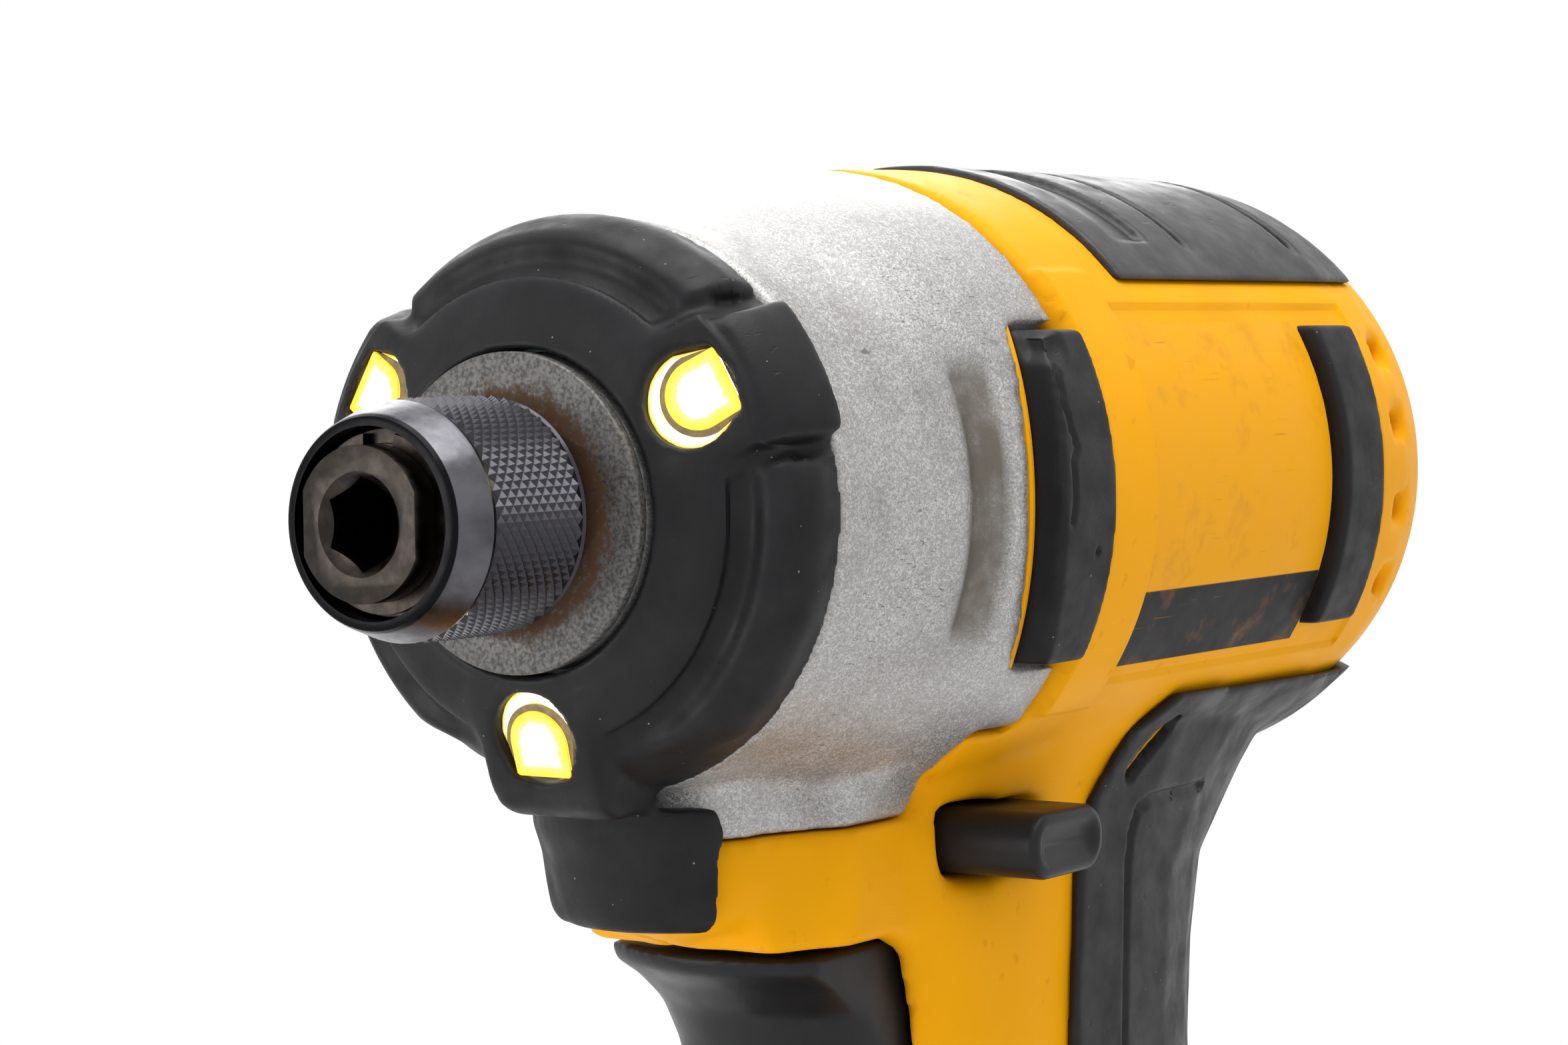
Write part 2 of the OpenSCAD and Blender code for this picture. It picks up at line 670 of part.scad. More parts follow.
module armature_winding()
    color("#b5652b") {
        turned([[can_front - 0.2, rotor_r + 3], [can_front - 0.2, stack_r - 4], [can_front + 1.3, stack_r - 2.4],
            [stack_front, stack_r - 2.4], [stack_front, rotor_r + 3]]);
        turned([[stack_end, rotor_r + 3], [stack_end, stack_r - 2.4], [can_end - 1.8, stack_r - 2.4],
            [can_end - 0.3, stack_r - 4], [can_end - 0.3, rotor_r + 3]]);
    }

module commutator()
    color("#c07a45") ring(commutator_front, commutator_front + commutator_len, rotor_r + seat, commutator_r);

module motor_can() color("#8f9296") ring(can_front, can_end, can_r - can_wall, can_r);

module motor_magnets()
    color("#3c3c40") intersection() {
        ring(can_front + 1.5, can_end - 1.5, magnet_r - magnet_t, magnet_r);
        for (s = [0, 180]) around(s) block([can_front, 9, -can_r], [can_end, can_r, can_r]);
    }

brush_front = commutator_front + 2;
brush_len = 3.5;
brush_hw = 3;

module brush_card() {
    color("#3a3630") difference() {
        union() {
            ring(commutator_front, commutator_front + card_t, commutator_r + 1.5, head_bore_r - 0.15);
            block([commutator_front, -lead_side - 4, -card_tab_low], [commutator_front + 5, lead_side + 4, -20]);
            for (s = [0, 180])
                around(s) block([commutator_front, commutator_r + 2.5, -brush_hw - 1.5],
                    [brush_front + brush_len + 1, commutator_r + 12, brush_hw + 1.5]);
        }
        for (s = [0, 180])
            around(s) block([brush_front - seat, commutator_r, -brush_hw - seat],
                [brush_front + brush_len + seat, commutator_r + 20, brush_hw + seat]);
    }
}

module carbon_brushes()
    color("#1f1f20") for (s = [0, 180])
        around(s) block([brush_front, commutator_r + run, -brush_hw],
            [brush_front + brush_len, commutator_r + 10, brush_hw]);

module rotor_rear_bearing()
    color("#b9bcc0") ring(rear_bearing_front, rear_bearing_front + rear_bearing_t, rotor_r + run, rear_bearing_r);

// Shell of the gear case under the boot
nose_step_r = case_front_r - boot_t;
case_nose = [[washer_end, nose_r], [boot_end - 5.5, nose_r], [boot_end - 4.8, nose_r + 4],
    [boot_end - 2.2, nose_step_r - 0.7], [boot_end, nose_step_r]];
board_t = 1.2;
board_r = nose_r + 3.5;
notch_r = front_bumper_r - 4;
notch_len = 10;
bumper_bow_r = 41;
channel_depth = 0.6;
channel_at = [boot_end + 16, boot_end + 21];
channel_h = 11.5;

// Lower part of the seam, which steps forward under the head
seam_low = 20.5;
seam_front = case_end - 6.5;

// Space below the stepped seam
module seam_step(grow)
    block([seam_front - grow, -head_r - 5, -jaw_low], [case_end + 1, head_r + 5, -seam_low + grow]);

// Radius of an outline of revolution at a station
function radius_at(outline, station) = lookup(station, outline);

// Lower front of the tool, round about an upright axis, as [radius, height below the tool axis]
bow_at = 41;
bow_r = 9.8;
chin_high = 25.1;
chin_low = 36;
jaw_bow = [[bow_r, keel_low + seam], [bow_r, jaw_low - 6.2], [bow_r - 0.8, jaw_low - 3.7], [bow_r - 2.6, jaw_low - 2.3],
    [bow_r - 5.8, jaw_low - 1.3], [bow_r - 8.4, jaw_low - 0.3], [bow_r - 9.2, jaw_low]];
chin_bow = [[bow_r + 2.4, 23], [bow_r + 2.2, 27.5], [bow_r + 1.4, 30], [bow_r + 1, chin_low - 3], [bow_r + 0.6, chin_low - 1],
    [bow_r - 0.2, chin_low]];

// Solid of a bow outline, grown all round by a gap
module bow(outline, grow)
    tool() translate([bow_at, 0, 0]) rotate_extrude()
        polygon(concat([[0, -outline[0][1]]], [for (p = outline) [p[0] + grow, -p[1]]],
            [[0, -outline[len(outline) - 1][1]]]));

// Plan of the lower front between two heights, round in front and wider to the rear
module bow_bar(low, high, grow)
    tool() translate([0, 0, low]) linear_extrude(high - low) {
        r = bow_r + grow;
        translate([bow_at, 0]) circle(r = r);
        polygon([[bow_at, -r], [bow_at + 5, -r - 2], [case_end, -r - 16], [case_end, r + 16], [bow_at + 5, r + 2],
            [bow_at, r]]);
    }

// Downward part of the gear case, grown all round by a gap
module keel(grow) intersection() {
    tool() translate([boot_end - 1, 0, 0]) rotate([0, 90, 0]) linear_extrude(seam_front - boot_end + 1)
        polygon([[14, -20.5 - grow], [keel_low + grow, -keel_hw - grow], [keel_low + grow, keel_hw + grow],
            [14, 20.5 + grow]]);
    bow_bar(-keel_low - 1, 0, grow);
}

module gear_case() {
    color("#b9bbbd") difference() {
        union() {
            turned(concat([[washer_end, 0]], case_nose, case_outer, [[case_end, spigot_r], [rib_at, spigot_r],
                [rib_at, spigot_r + rib_h], [rib_at + rib_t, spigot_r + rib_h], [rib_at + rib_t, spigot_r],
                [plate_front, spigot_r], [plate_front, 0]]));
            keel(0);
        }
        turned([[washer_end - 1, 0], [washer_end - 1, bushing_r + seat], [bushing_end, bushing_r + seat],
            [bushing_end, case_bore_r], [ring_front - seat, case_bore_r], [ring_front - seat, ring_r + seat],
            [plate_front + 1, ring_r + seat], [plate_front + 1, 0]]);
        for (s = [0, 180]) around(s) {
            intersection() {
                ring(case_end - notch_len, case_end + 0.01, notch_r, head_r + 5);
                block([case_end - notch_len, 0, -front_bumper_h - 0.6],
                    [case_end + 1, head_r + 5, front_bumper_h + 0.6]);
                cross_rod(case_end - notch_len + bumper_bow_r, 0, 0, head_r + 5, bumper_bow_r);
            }
            intersection() {
                turned([[channel_at[0], radius_at(case_outer, channel_at[0]) - channel_depth],
                    [channel_at[0], head_r], [channel_at[1], head_r],
                    [channel_at[1], radius_at(case_outer, channel_at[1]) - channel_depth]]);
                block([channel_at[0], 0, -channel_h], [channel_at[1], head_r + 5, channel_h]);
            }
        }
        intersection() {
            ring(seam_front - seat, case_end + seat, spigot_r, head_r + 5);
            seam_step(0);
        }
        plate_screw_places()
            side_rod(plate_front - plate_screw_reach - 1, plate_front + 1, plate_screw_orbit, 0, plate_screw_r + seat);
    }
}

// Lamp windows on the boot's ears
ear_hw = 6;
ear_angles = [30, 150, 270];
window_at = [boot_end - 9.8, 18.6];
window_tilt = atan2(7.3, 2);
window_w = 8;
window_len = 7.6;
window_end_w = 5.8;
lens_depth = [0.6, 1.7];

// D-shaped bar square to an ear's sloping face, between two depths under that face
module window_bar(shallow, deep, shrink)
    tool() translate([window_at[0], window_at[1], 0]) rotate([0, 0, window_tilt]) rotate([90, 0, 0])
        translate([0, 0, shallow]) linear_extrude(deep - shallow) union() {
            circle(d = window_w - 2 * shrink);
            polygon([[0, shrink - window_w / 2], [window_len - window_w / 2 - shrink, shrink - window_end_w / 2],
                [window_len - window_w / 2 - shrink, window_end_w / 2 - shrink], [0, window_w / 2 - shrink]]);
        }

// Boot outline of revolution, and the space that it leaves for the gear case
boot_outer = [[washer_end - 0.1, nose_r + 0.9], [washer_end + 0.3, nose_r + 1.5], [boot_end - 10.2, nose_r + 4.5],
    [boot_end - 9.6, nose_r + 5.9], [boot_end - 8.8, nose_r + 6.6], [boot_end - 8.2, nose_r + 7.2],
    [boot_end - 7, nose_r + 8.8], [boot_end - 4, case_front_r - 0.8], [boot_end - seat, case_front_r]];

module boot_space()
    turned([[washer_end - 2, 0], [washer_end - 2, nose_r + 0.4], [boot_end - 6.8, nose_r + 0.4],
        [boot_end - 6.8, board_r + 0.1], [boot_end - 5.5, board_r + 0.1], [boot_end - 4.85, nose_r + 4 + seat],
        [boot_end - 2.25, nose_step_r - 0.7 + seat], [boot_end, nose_step_r + seat], [boot_end + 1, nose_step_r + seat],
        [boot_end + 1, 0]]);

module nose_boot() {
    color("#2b2b2d") difference() {
        union() {
            turned(concat(boot_outer, [[boot_end - seat, nose_r], [washer_end - 0.1, nose_r]]));
            for (angle = ear_angles)
                around(angle) tool() linear_extrude(2 * ear_hw, center = true)
                    polygon([[boot_end - 10.6, nose_r + 0.7], [boot_end - 11, nose_r + 1.4], [boot_end - 10.4, nose_r + 4],
                        [boot_end - 8.7, nose_r + 9.6], [boot_end - 7.6, nose_r + 11.6], [boot_end - 5.8, nose_r + 12.6],
                        [boot_end - 0.6, nose_r + 12.3], [boot_end - 0.6, nose_r + 0.7]]);
            intersection() {
                bow(chin_bow, 0);
                side([[boot_end - 2.5, -21], [boot_end - 0.6, -21], [boot_end - 0.6, -chin_high],
                    [boot_end + 3, -chin_high], [boot_end + 4.2, -chin_low - 1], [boot_end - 2.5, -chin_low - 1]], 14);
            }
        }
        bow(jaw_bow, seat);
        keel(seat);
        boot_space();
        for (angle = ear_angles) around(angle) window_bar(-3, lens_depth[1] + seat, 0);
    }
}

module led_board() color("#1d4d2b") ring(boot_end - 6.75, boot_end - 6.75 + board_t, nose_r + 0.1, board_r);

module led_lenses()
    color("#fff3c4") for (angle = ear_angles) around(angle) window_bar(lens_depth[0], lens_depth[1], 0.15);

// Half ring of the handle on the left side, closed along the middle or reaching past it
function handle_half(s, grow, past) =
    let (mid = (s[1] + s[2]) / 2, depth = (s[2] - s[1]) / 2 + grow, width = s[3] + grow,
         arc = [for (k = [0 : RING_STEPS]) let (a = 180 * k / RING_STEPS, power = 2 / (a < 90 ? s[4] : s[5]))
             [mid - depth * sign(cos(a)) * pow(abs(cos(a)), power), width * pow(max(sin(a), 0), power), -s[0]]])
    past == 0 ? arc : concat([[mid - depth, -past, -s[0]]], arc, [[mid + depth, -past, -s[0]]]);

// Station of the handle at a height below the axis
function handle_at(h) = [h, lookup(h, [for (s = HANDLE) [s[0], s[1]]]), lookup(h, [for (s = HANDLE) [s[0], s[2]]]),
    lookup(h, [for (s = HANDLE) [s[0], s[3]]]), lookup(h, [for (s = HANDLE) [s[0], s[4]]]),
    lookup(h, [for (s = HANDLE) [s[0], s[5]]])];

// Stations of the handle between two heights
function handle_span(high, low) =
    concat([handle_at(high)], [for (s = HANDLE) if (s[0] > high + 0.5 && s[0] < low - 0.5) s], [handle_at(low)]);

// Left half of the handle's solid between two heights
module handle_solid(high, low, grow, past)
    tool() skin([for (s = handle_span(high, low)) handle_half(s, grow, past)]);

// Left half of a solid of revolution about the tool axis
module half_turned(points)
    tool() rotate([0, 90, 0]) rotate_extrude(angle = 180) polygon([for (p = points) [p[1], p[0]]]);

// Outline of the yellow band below the stepped seam
seam_band = [[seam_front + seam, radius_at(case_outer, seam_front) + 0.1],
    [case_end - 4, radius_at(case_outer, case_end - 4) + 0.1], [case_end + 1, case_rear_r + 0.1]];

// Head shell with its axis end points
head_solid = concat([[case_end + seam, 0]], head_outer, [[overall_len, 0]]);

// Space for the gear case's spigot, the motor and the brush card
head_space = [[case_end, 0], [case_end, head_bore_r], [rib_at - seat, head_bore_r],
    [rib_at - seat, spigot_r + rib_h + 0.1], [rib_at + rib_t + seat, spigot_r + rib_h + 0.1],
    [rib_at + rib_t + seat, head_bore_r], [can_front + 0.5, head_bore_r], [can_front + 0.5, can_r + seat],
    [can_front + 4.5, can_r + seat], [can_front + 4.5, head_bore_r], [can_end - 4.5, head_bore_r],
    [can_end - 4.5, can_r + seat], [can_end - 0.5, can_r + seat], [can_end - 0.5, head_bore_r],
    [can_end + 4, head_bore_r], [web_front, head_bore_r - 1.2], [web_front, 0]];
rear_space = [[web_end, 0], [web_end, rear_r - 0.6], [overall_len - wall, rear_r - wall - 0.4], [overall_len - wall, 0]];

// Panels on the head: [front, rear, lower edge, upper edge]
label_panel = [case_end + 10, overall_len - 31, -16, 15];
rear_bumper_w = 8.4;
bumper_span = [label_panel[1] + 0.6, label_panel[1] + 0.6 + rear_bumper_w];
bumper_depth = 1.2;
pad_span = [case_end + 15, overall_len - 10];
pad_slots = [for (a = [[17.9, 18.9], [40.8, 42]]) [pad_span[0] + a[0], pad_span[0] + a[1]]];
pad_slot_low = 21.8;
pad_scoop = [pad_span[0] + 4.2, pad_span[0] + 11.6];
pad_scoop_low = 22.6;
vent_heights = [11.7, 4.6, -3.8, -11.3];
vent_span = [web_front - 2.6, web_front - 0.2];
vent_hh = 1.1;
vent_pocket = [web_front - 4.2, web_front + 0.2];
vent_pocket_hh = 1.6;
vent_pocket_depth = 1.4;

// Band that follows the head's outline between two stations, from one offset to another
module head_band(front, rear, low, high) {
    inside = [for (p = head_outer) if (p[0] > front && p[0] < rear) p];
    edge = concat([[front, radius_at(head_outer, front)]], inside, [[rear, radius_at(head_outer, rear)]]);
    n = len(edge) - 1;
    turned(concat([for (p = edge) [p[0], p[1] + high]], [for (i = [0 : n]) [edge[n - i][0], edge[n - i][1] + low]]));
}

// Label panel on both sides, from one offset of the head's surface to another
module label_shape(low, high, grow) intersection() {
    head_band(label_panel[0] - grow, label_panel[1] + grow, low, high);
    block([label_panel[0] - 1, -head_r - 5, label_panel[2] - grow],
        [label_panel[1] + 1, head_r + 5, label_panel[3] + grow]);
}

// Rear side bumpers on both sides, from one offset of the head's surface to another
module rear_bumper_shape(low, high, grow) intersection() {
    head_band(bumper_span[0] - grow, bumper_span[1] + grow, low, high);
    block([bumper_span[0] - 1, -head_r - 5, -rear_bumper_h - grow],
        [bumper_span[1] + 1, head_r + 5, rear_bumper_h + grow]);
}

// Top pad, from one offset of the head's surface to another
module top_pad_shape(low, high, grow) intersection() {
    head_band(pad_span[0] - grow, pad_span[1] + grow, low, high);
    block([pad_span[0] - 1, -head_r - 5, pad_low - grow], [pad_span[1] + 1, head_r + 5, head_r + 5]);
}

// Passage of the motor's leads from the handle up into the head, as [station, height]
lead_passage = [[106, -cavity_top - 1], [112, -cavity_top - 1], [114, -34.6], [121, -33.4], [123.9, -31.9],
    [126.3, -29.5], [126.5, -head_bore_r + 4], [106, -head_bore_r + 4]];

// Rounded web in the corner between the jaw and a cheek, as [station, height]
web_r = 5.5;
web_corner = 59.5;
cheek_web = concat([[web_corner + 1, -jaw_low - web_r], [web_corner + 1, -jaw_low + 0.5],
    [web_corner - web_r, -jaw_low + 0.5]],
    [for (a = [90 : -15 : 0]) [web_corner + web_r * (cos(a) - 1), -jaw_low + web_r * (sin(a) - 1)]]);

// Left half of the clamshell before its screw holes
module shell_half() {
    difference() {
        union() {
            half_turned(head_solid);
            intersection() {
                half_turned(concat([[seam_front + seam, 0]], seam_band, [[case_end + 1, 0]]));
                seam_step(-seam);
            }
            handle_solid(HANDLE[0][0], foot_low, 0, 0);
            intersection() {
                union() {
                    bow(jaw_bow, 0);
                    intersection() {
                        bow_bar(-jaw_low, -keel_low - seam, 0);
                        block([bow_at, 0, -jaw_low], [selector_front, jaw_hw, 0]);
                    }
                }
                block([boot_end, 0, -jaw_low], [selector_front, jaw_hw, 0]);
            }
            cross_rod(hook_at, -hook_low, hook_pad_y - 12, hook_pad_y, hook_r + 3.5);
        }
        turned(head_space);
        turned(rear_space);
        rod(web_front - 1, web_end + 1, rear_bearing_r + seat);
        rod(boot_end, case_end + 1, head_bore_r);
        difference() {
            turned(concat([[boot_end - 1, 0]], [for (p = case_outer) [p[0], p[1] + seam]], [[case_end + seam, 0]]));
            seam_step(-seam);
        }
        keel(seam);
        handle_solid(cavity_top, foot_floor, -wall, 1);
        block([79, -1, -cavity_top - 1], [107, 12.5, -cavity_top + 5.5]);
        side(lead_passage, 7);
        block([50, -1, -trigger_top - trigger_h - gap],
            [trigger_rear + 3.5 + trigger_travel + gap, trigger_hw + gap, -trigger_top + gap]);
        block([selector_front - gap, -1, -selector_top - selector_h - gap],
            [selector_front + selector_w + gap, selector_reach, -selector_top + gap]);
        bench_block([40, -1, pack_h - 1], [rail_rear + 1, rail_hw + gap, pack_h + rail_step + 0.1]);
        bench_block([40, -1, pack_h + rail_step - gap],
            [rail_rear + 1, rail_hw + rail_lip + gap, pack_h + rail_h + gap]);
        bench_block([blade_front - 1, blade_side - 1.2, pack_h + rail_h], [blade_rear + 1, blade_side + 1.2, floor_z + 1]);
        cross_rod(hook_at, -hook_low, hook_pad_y - hook_depth, hook_pad_y + 1, hook_r);
        label_shape(-label_depth, 3, 0.05);
        rear_bumper_shape(-bumper_depth, 3, 0.05);
        top_pad_shape(-pad_depth, 3, 0.05);
        for (z = vent_heights) {
            block([vent_span[0], 15, z - vent_hh], [vent_span[1], head_r + 5, z + vent_hh]);
            intersection() {
                head_band(vent_pocket[0], vent_pocket[1], -vent_pocket_depth, 3);
                block([vent_pocket[0], 15, z - vent_pocket_hh], [vent_pocket[1], head_r + 5, z + vent_pocket_hh]);
            }
        }
    }
    intersection() {
        side(cheek_web, jaw_hw - 0.2);
        block([50, trigger_hw + gap, -jaw_low - web_r], [web_corner + 1, jaw_hw, -jaw_low + 0.5]);
    }
    for (s = SCREWS) if (s[2] > 0) cross_rod(s[0], -s[1], 0, s[2], boss_r);
    for (b = [switch_front + 4, switch_front + 16])
        block([b, switch_hw + seat, -trigger_top - switch_h + 3], [b + 3, 14, -trigger_top - 5]);
}

blade_front = 100;
blade_rear = 116;

module left_housing()
    color("#f5b01c") difference() {
        shell_half();
        for (s = SCREWS) cross_rod(s[0], -s[1], -1, screw_tip_y + gap, screw_r + seat);
    }

module right_housing()
    color("#f5b01c") difference() {
        mirror([0, 1, 0]) shell_half();
        for (s = SCREWS) {
            cross_rod(s[0], -s[1], -screw_seat_y - 1, 1, screw_r + seat);
            cross_rod(s[0], -s[1], -pack_hw, -screw_seat_y, screw_head_r + 0.2);
        }
    }

module housing_screws()
    color("#3a3a3c") for (s = SCREWS) {
        cross_rod(s[0], -s[1], -screw_seat_y, screw_tip_y, screw_r);
        difference() {
            cross_rod(s[0], -s[1], -screw_seat_y - screw_head_t, -screw_seat_y, screw_head_r);
            tool() translate([s[0], -screw_seat_y - screw_head_t - 1, -s[1]]) rotate([-90, 0, 0])
                cylinder(h = 2.5, r = 1.4, $fn = 6);
        }
    }

// Rubber grip on the left side, its edge as [station, height below the axis]
grip_t = 1.2;
grip_low = down(0.737);
grip_edge = [[90.5, 19.8], [86, 24.4], [81.8, 28.8], [79.6, 35.7], [79, upper_low + 4], [79, grip_low],
    [overall_len - 2, grip_low], [overall_len - 2, 20.8]];

// Head's outside grown by a distance
module head_grown(grow)
    turned(concat([[case_end + seam, 0]], [for (p = head_outer) [p[0], p[1] + grow]], [[overall_len, 0]]));

module grip_half()
    difference() {
        intersection() {
            union() {
                handle_solid(HANDLE[0][0], grip_low, grip_t, 0);
                head_grown(grip_t);
            }
            side([for (p = grip_edge) [p[0], -p[1]]], pack_hw);
            block([case_end, 0, -axis_h], [overall_len, pack_hw, 0]);
        }
        handle_solid(HANDLE[0][0], grip_low + 4, 0, 1);
        head_grown(seat);
    }

module left_grip() color("#333335") grip_half();

module right_grip()
    color("#333335") difference() {
        mirror([0, 1, 0]) grip_half();
        for (s = SCREWS) cross_rod(s[0], -s[1], -pack_hw, -screw_seat_y, screw_head_r + 0.2);
    }

module top_pad()
    color("#39393b") difference() {
        top_pad_shape(-pad_depth + seat, pad_r - head_r, 0);
        for (slot = pad_slots)
            block([slot[0], -head_r - 5, pad_slot_low], [slot[1], head_r + 5, head_r + 5]);
        intersection() {
            turned([[pad_scoop[0], pad_r + 0.1], [pad_scoop[1], head_r - pad_depth + 0.4], [pad_scoop[1], pad_r + 1]]);
            block([pad_scoop[0], -head_r - 5, pad_scoop_low], [pad_scoop[1] + 1, head_r + 5, head_r + 5]);
        }
    }

module front_bumpers()
    color("#39393b") for (s = [0, 180])
        around(s) intersection() {
            ring(case_end - notch_len + 0.8, case_end - seat, notch_r + seat, front_bumper_r);
            block([case_end - notch_len, 0, -front_bumper_h], [case_end, head_r + 5, front_bumper_h]);
            cross_rod(case_end - notch_len + 0.8 + bumper_bow_r, 0, 0, head_r + 5, bumper_bow_r);
        }

module rear_bumpers() color("#39393b") rear_bumper_shape(-bumper_depth + seat, rear_bumper_r - head_r, 0);

module side_labels() color("#f0a412") label_shape(-label_depth + seat, -0.2, 0);

// Finger hollow of the trigger
// Finger face of the trigger, round about an upright axis, as [radius, depth below the trigger's top]
trigger_pivot = trigger_rear - 1;
trigger_face = [[18.6, 0], [18.2, 1.6], [15.6, 3.4], [13.2, 6], [11.6, 10], [10.9, 14.5], [11, 19], [11.9, 24],
    [13.4, 28.5], [14.8, trigger_h]];

module trigger() {
    color("#2d2d2f") difference() {
        union() {
            intersection() {
                tool() translate([trigger_pivot, 0, -trigger_top]) rotate_extrude()
                    polygon(concat([[0, 0]], [for (p = trigger_face) [p[0], -p[1]]], [[0, -trigger_h]]));
                block([trigger_pivot - 20, -trigger_hw, -trigger_top - trigger_h], [trigger_pivot, trigger_hw, -trigger_top]);
            }
            side([[trigger_pivot, -trigger_top], [trigger_rear, -trigger_top],
                [trigger_rear, -trigger_top - trigger_h + 10], [trigger_rear + 3.5, -trigger_top - trigger_h],
                [trigger_pivot, -trigger_top - trigger_h]], trigger_hw);
            side_rod(trigger_rear - 1, stem_end, 0, -trigger_mid, stem_r);
        }
        difference() {
            side_rod(trigger_spring_front, trigger_rear + 5, 0, -trigger_mid, stem_r + 2.7);
            side_rod(trigger_spring_front - 1, trigger_rear + 6, 0, -trigger_mid, stem_r);
        }
    }
}

trigger_wire = 0.8;

module trigger_spring()
    color("gray") translate([0, 0, -trigger_mid])
        coil(trigger_spring_front + seat, switch_front - trigger_spring_front - 2 * seat, stem_r + 1.4, trigger_wire, 6);

module switch_body()
    color("#202022") difference() {
        bench_block([switch_front, -switch_hw, switch_top - switch_h], [switch_front + switch_len, switch_hw, switch_top]);
        side_rod(switch_front - 1, stem_end + trigger_travel + 2, 0, -trigger_mid, stem_r + run);
    }

module selector_bar()
    color("#2f2f31") block([selector_front, selector_travel - selector_reach, -selector_top - selector_h],
        [selector_front + selector_w, selector_reach, -selector_top]);

module control_module()
    color("#26312b") bench_block([78, -14, floor_z + seat], [97, 14, floor_z + 8]);

module terminal_block()
    color("#4a3f2c") {
        bench_block([blade_front - 2, -blade_side - 4, floor_z + seat], [blade_rear + 2, blade_side + 4, terminal_top]);
        for (s = [-1, 1])
            bench_block([blade_front, s * blade_side - blade_t / 2, pack_h + rail_step + 1],
                [blade_rear, s * blade_side + blade_t / 2, floor_z + 1]);
    }

// Pair of leads on both sides of the middle along one route
module lead_pair(route)
    for (s = [-1, 1])
        bench() tube([for (p = route) [p[0], s * lead_side, p[1]]], lead_r, 8, [0, 1, 0]);

module battery_leads() color("#9c1f1f") lead_pair(BATTERY_LEAD);

module motor_leads() color("#1c1c1e") lead_pair(MOTOR_LEAD);

// Rounded rectangle of the pack, inset from its outside
module pack_outline(inset)
    translate([pack_front + inset, -pack_hw + inset]) {
        long = pack_len - 2 * inset;
        broad = 2 * (pack_hw - inset);
        r = pack_corner - inset;
        translate([r, 0]) square([long - 2 * r, broad]);
        translate([0, r]) square([long, broad - 2 * r]);
        for (x = [r, long - r], y = [r, broad - r]) translate([x, y]) circle(r = r);
    }

// Upright wall of the pack's outline between two heights
module pack_bar(low, high, inset)
    bench() translate([0, 0, low]) linear_extrude(high - low) pack_outline(inset);

module battery_case()
    color("#2c2c2e") difference() {
        pack_bar(0, pack_split, 0);
        pack_bar(pack_wall, pack_split + 1, pack_wall);
    }

pocket_floor = pack_h - latch_h - latch_spring_len;

module battery_cover() {
    color("#343436") difference() {
        union() {
            difference() {
                pack_bar(pack_split, pack_h, 0);
                pack_bar(pack_split - 1, pack_h - pack_wall, pack_wall);
            }
            bench_block([latch_front - 3, -latch_hw - 3, pack_split], [latch_end + 3, latch_hw + 3, pack_h]);
            bench_block([rail_front, -rail_hw, pack_h - 0.5], [rail_rear, rail_hw, pack_h + rail_h]);
            bench_block([rail_front, -rail_hw - rail_lip, pack_h + rail_step],
                [rail_rear, rail_hw + rail_lip, pack_h + rail_h]);
        }
        bench_block([latch_front - gap, -latch_hw - gap, pocket_floor], [latch_end + gap, latch_hw + gap, pack_h + 1]);
        for (s = [-1, 1])
            bench_block([blade_front - 3, s * blade_side - 2.2, pack_h + 2],
                [rail_rear + 1, s * blade_side + 2.2, pack_h + rail_h + 1]);
    }
}

module battery_terminals()
    color("#c9a24a") for (s = [-1, 1], t = [-1, 1])
        bench_block([blade_front, s * blade_side + t * 1.2 - 0.4, pack_h + 2 + seat],
            [blade_front + 13, s * blade_side + t * 1.2 + 0.4, pack_h + rail_h - 0.5]);

module battery_cells() {
    pitch = (pack_len - 2 * pack_wall - 1) / cell_count;
    color("#3f7f5f") for (i = [0 : cell_count - 1])
        bench() translate([pack_front + pack_wall + 0.5 + pitch * (i + 0.5), -cell_len / 2, pack_wall + seat + cell_d / 2])
            rotate([-90, 0, 0]) cylinder(h = cell_len, d = cell_d);
}

module battery_latch()
    color("#f0a412") {
        bench_block([latch_front, -latch_hw, pack_h - latch_h], [latch_end, latch_hw, pack_h - 0.4]);
        bench_block([latch_front + 2, -latch_hw + 2, pack_h - 1], [latch_front + 14, latch_hw - 2, pack_h + 1.5]);
        bench_block([latch_tooth_front, -latch_hw + 4, pack_h - 1], [latch_end, latch_hw - 4, pack_h + latch_tooth_h]);
    }

module battery_latch_spring() {
    path = helix(latch_spring_r, latch_wire, latch_spring_len - 2 * seat, 3.5);
    echo(str("least gap between curls: ", least_gap(path, latch_wire)));
    color("gray") bench() translate([(latch_front + latch_end) / 2, 0, pocket_floor + seat])
        tube(path, latch_wire / 2, 6, [0, 0, 1]);
}

left_housing();
right_housing();
gear_case();
nose_boot();
nose_washer();
nose_seal();
anvil_bushing();
thrust_washer();
anvil();
detent_balls();
bit_sleeve();
sleeve_spring();
sleeve_washer();
retaining_ring();
led_board();
led_lenses();
hammer();
hammer_spring();
spring_washer();
cam_balls();
spindle();
planet_pins();
planet_gear_a();
planet_gear_b();
ring_gear();
spindle_bearing();
motor_plate();
plate_screws();
rotor_front_bearing();
rotor_shaft();
cooling_fan();
armature();
armature_winding();
commutator();
motor_can();
motor_magnets();
brush_card();
carbon_brushes();
rotor_rear_bearing();
trigger();
trigger_spring();
switch_body();
selector_bar();
control_module();
terminal_block();
battery_leads();
motor_leads();
top_pad();
front_bumpers();
rear_bumpers();
side_labels();
left_grip();
right_grip();
housing_screws();
battery_case();
battery_cover();
battery_cells();
battery_terminals();
battery_latch();
battery_latch_spring();
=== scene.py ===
"""Dresses the impact driver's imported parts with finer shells, a cut knurl, lit lamps and worn finishes."""

import json
import logging
import math
from collections.abc import Callable, Iterable
from dataclasses import dataclass
from enum import Enum

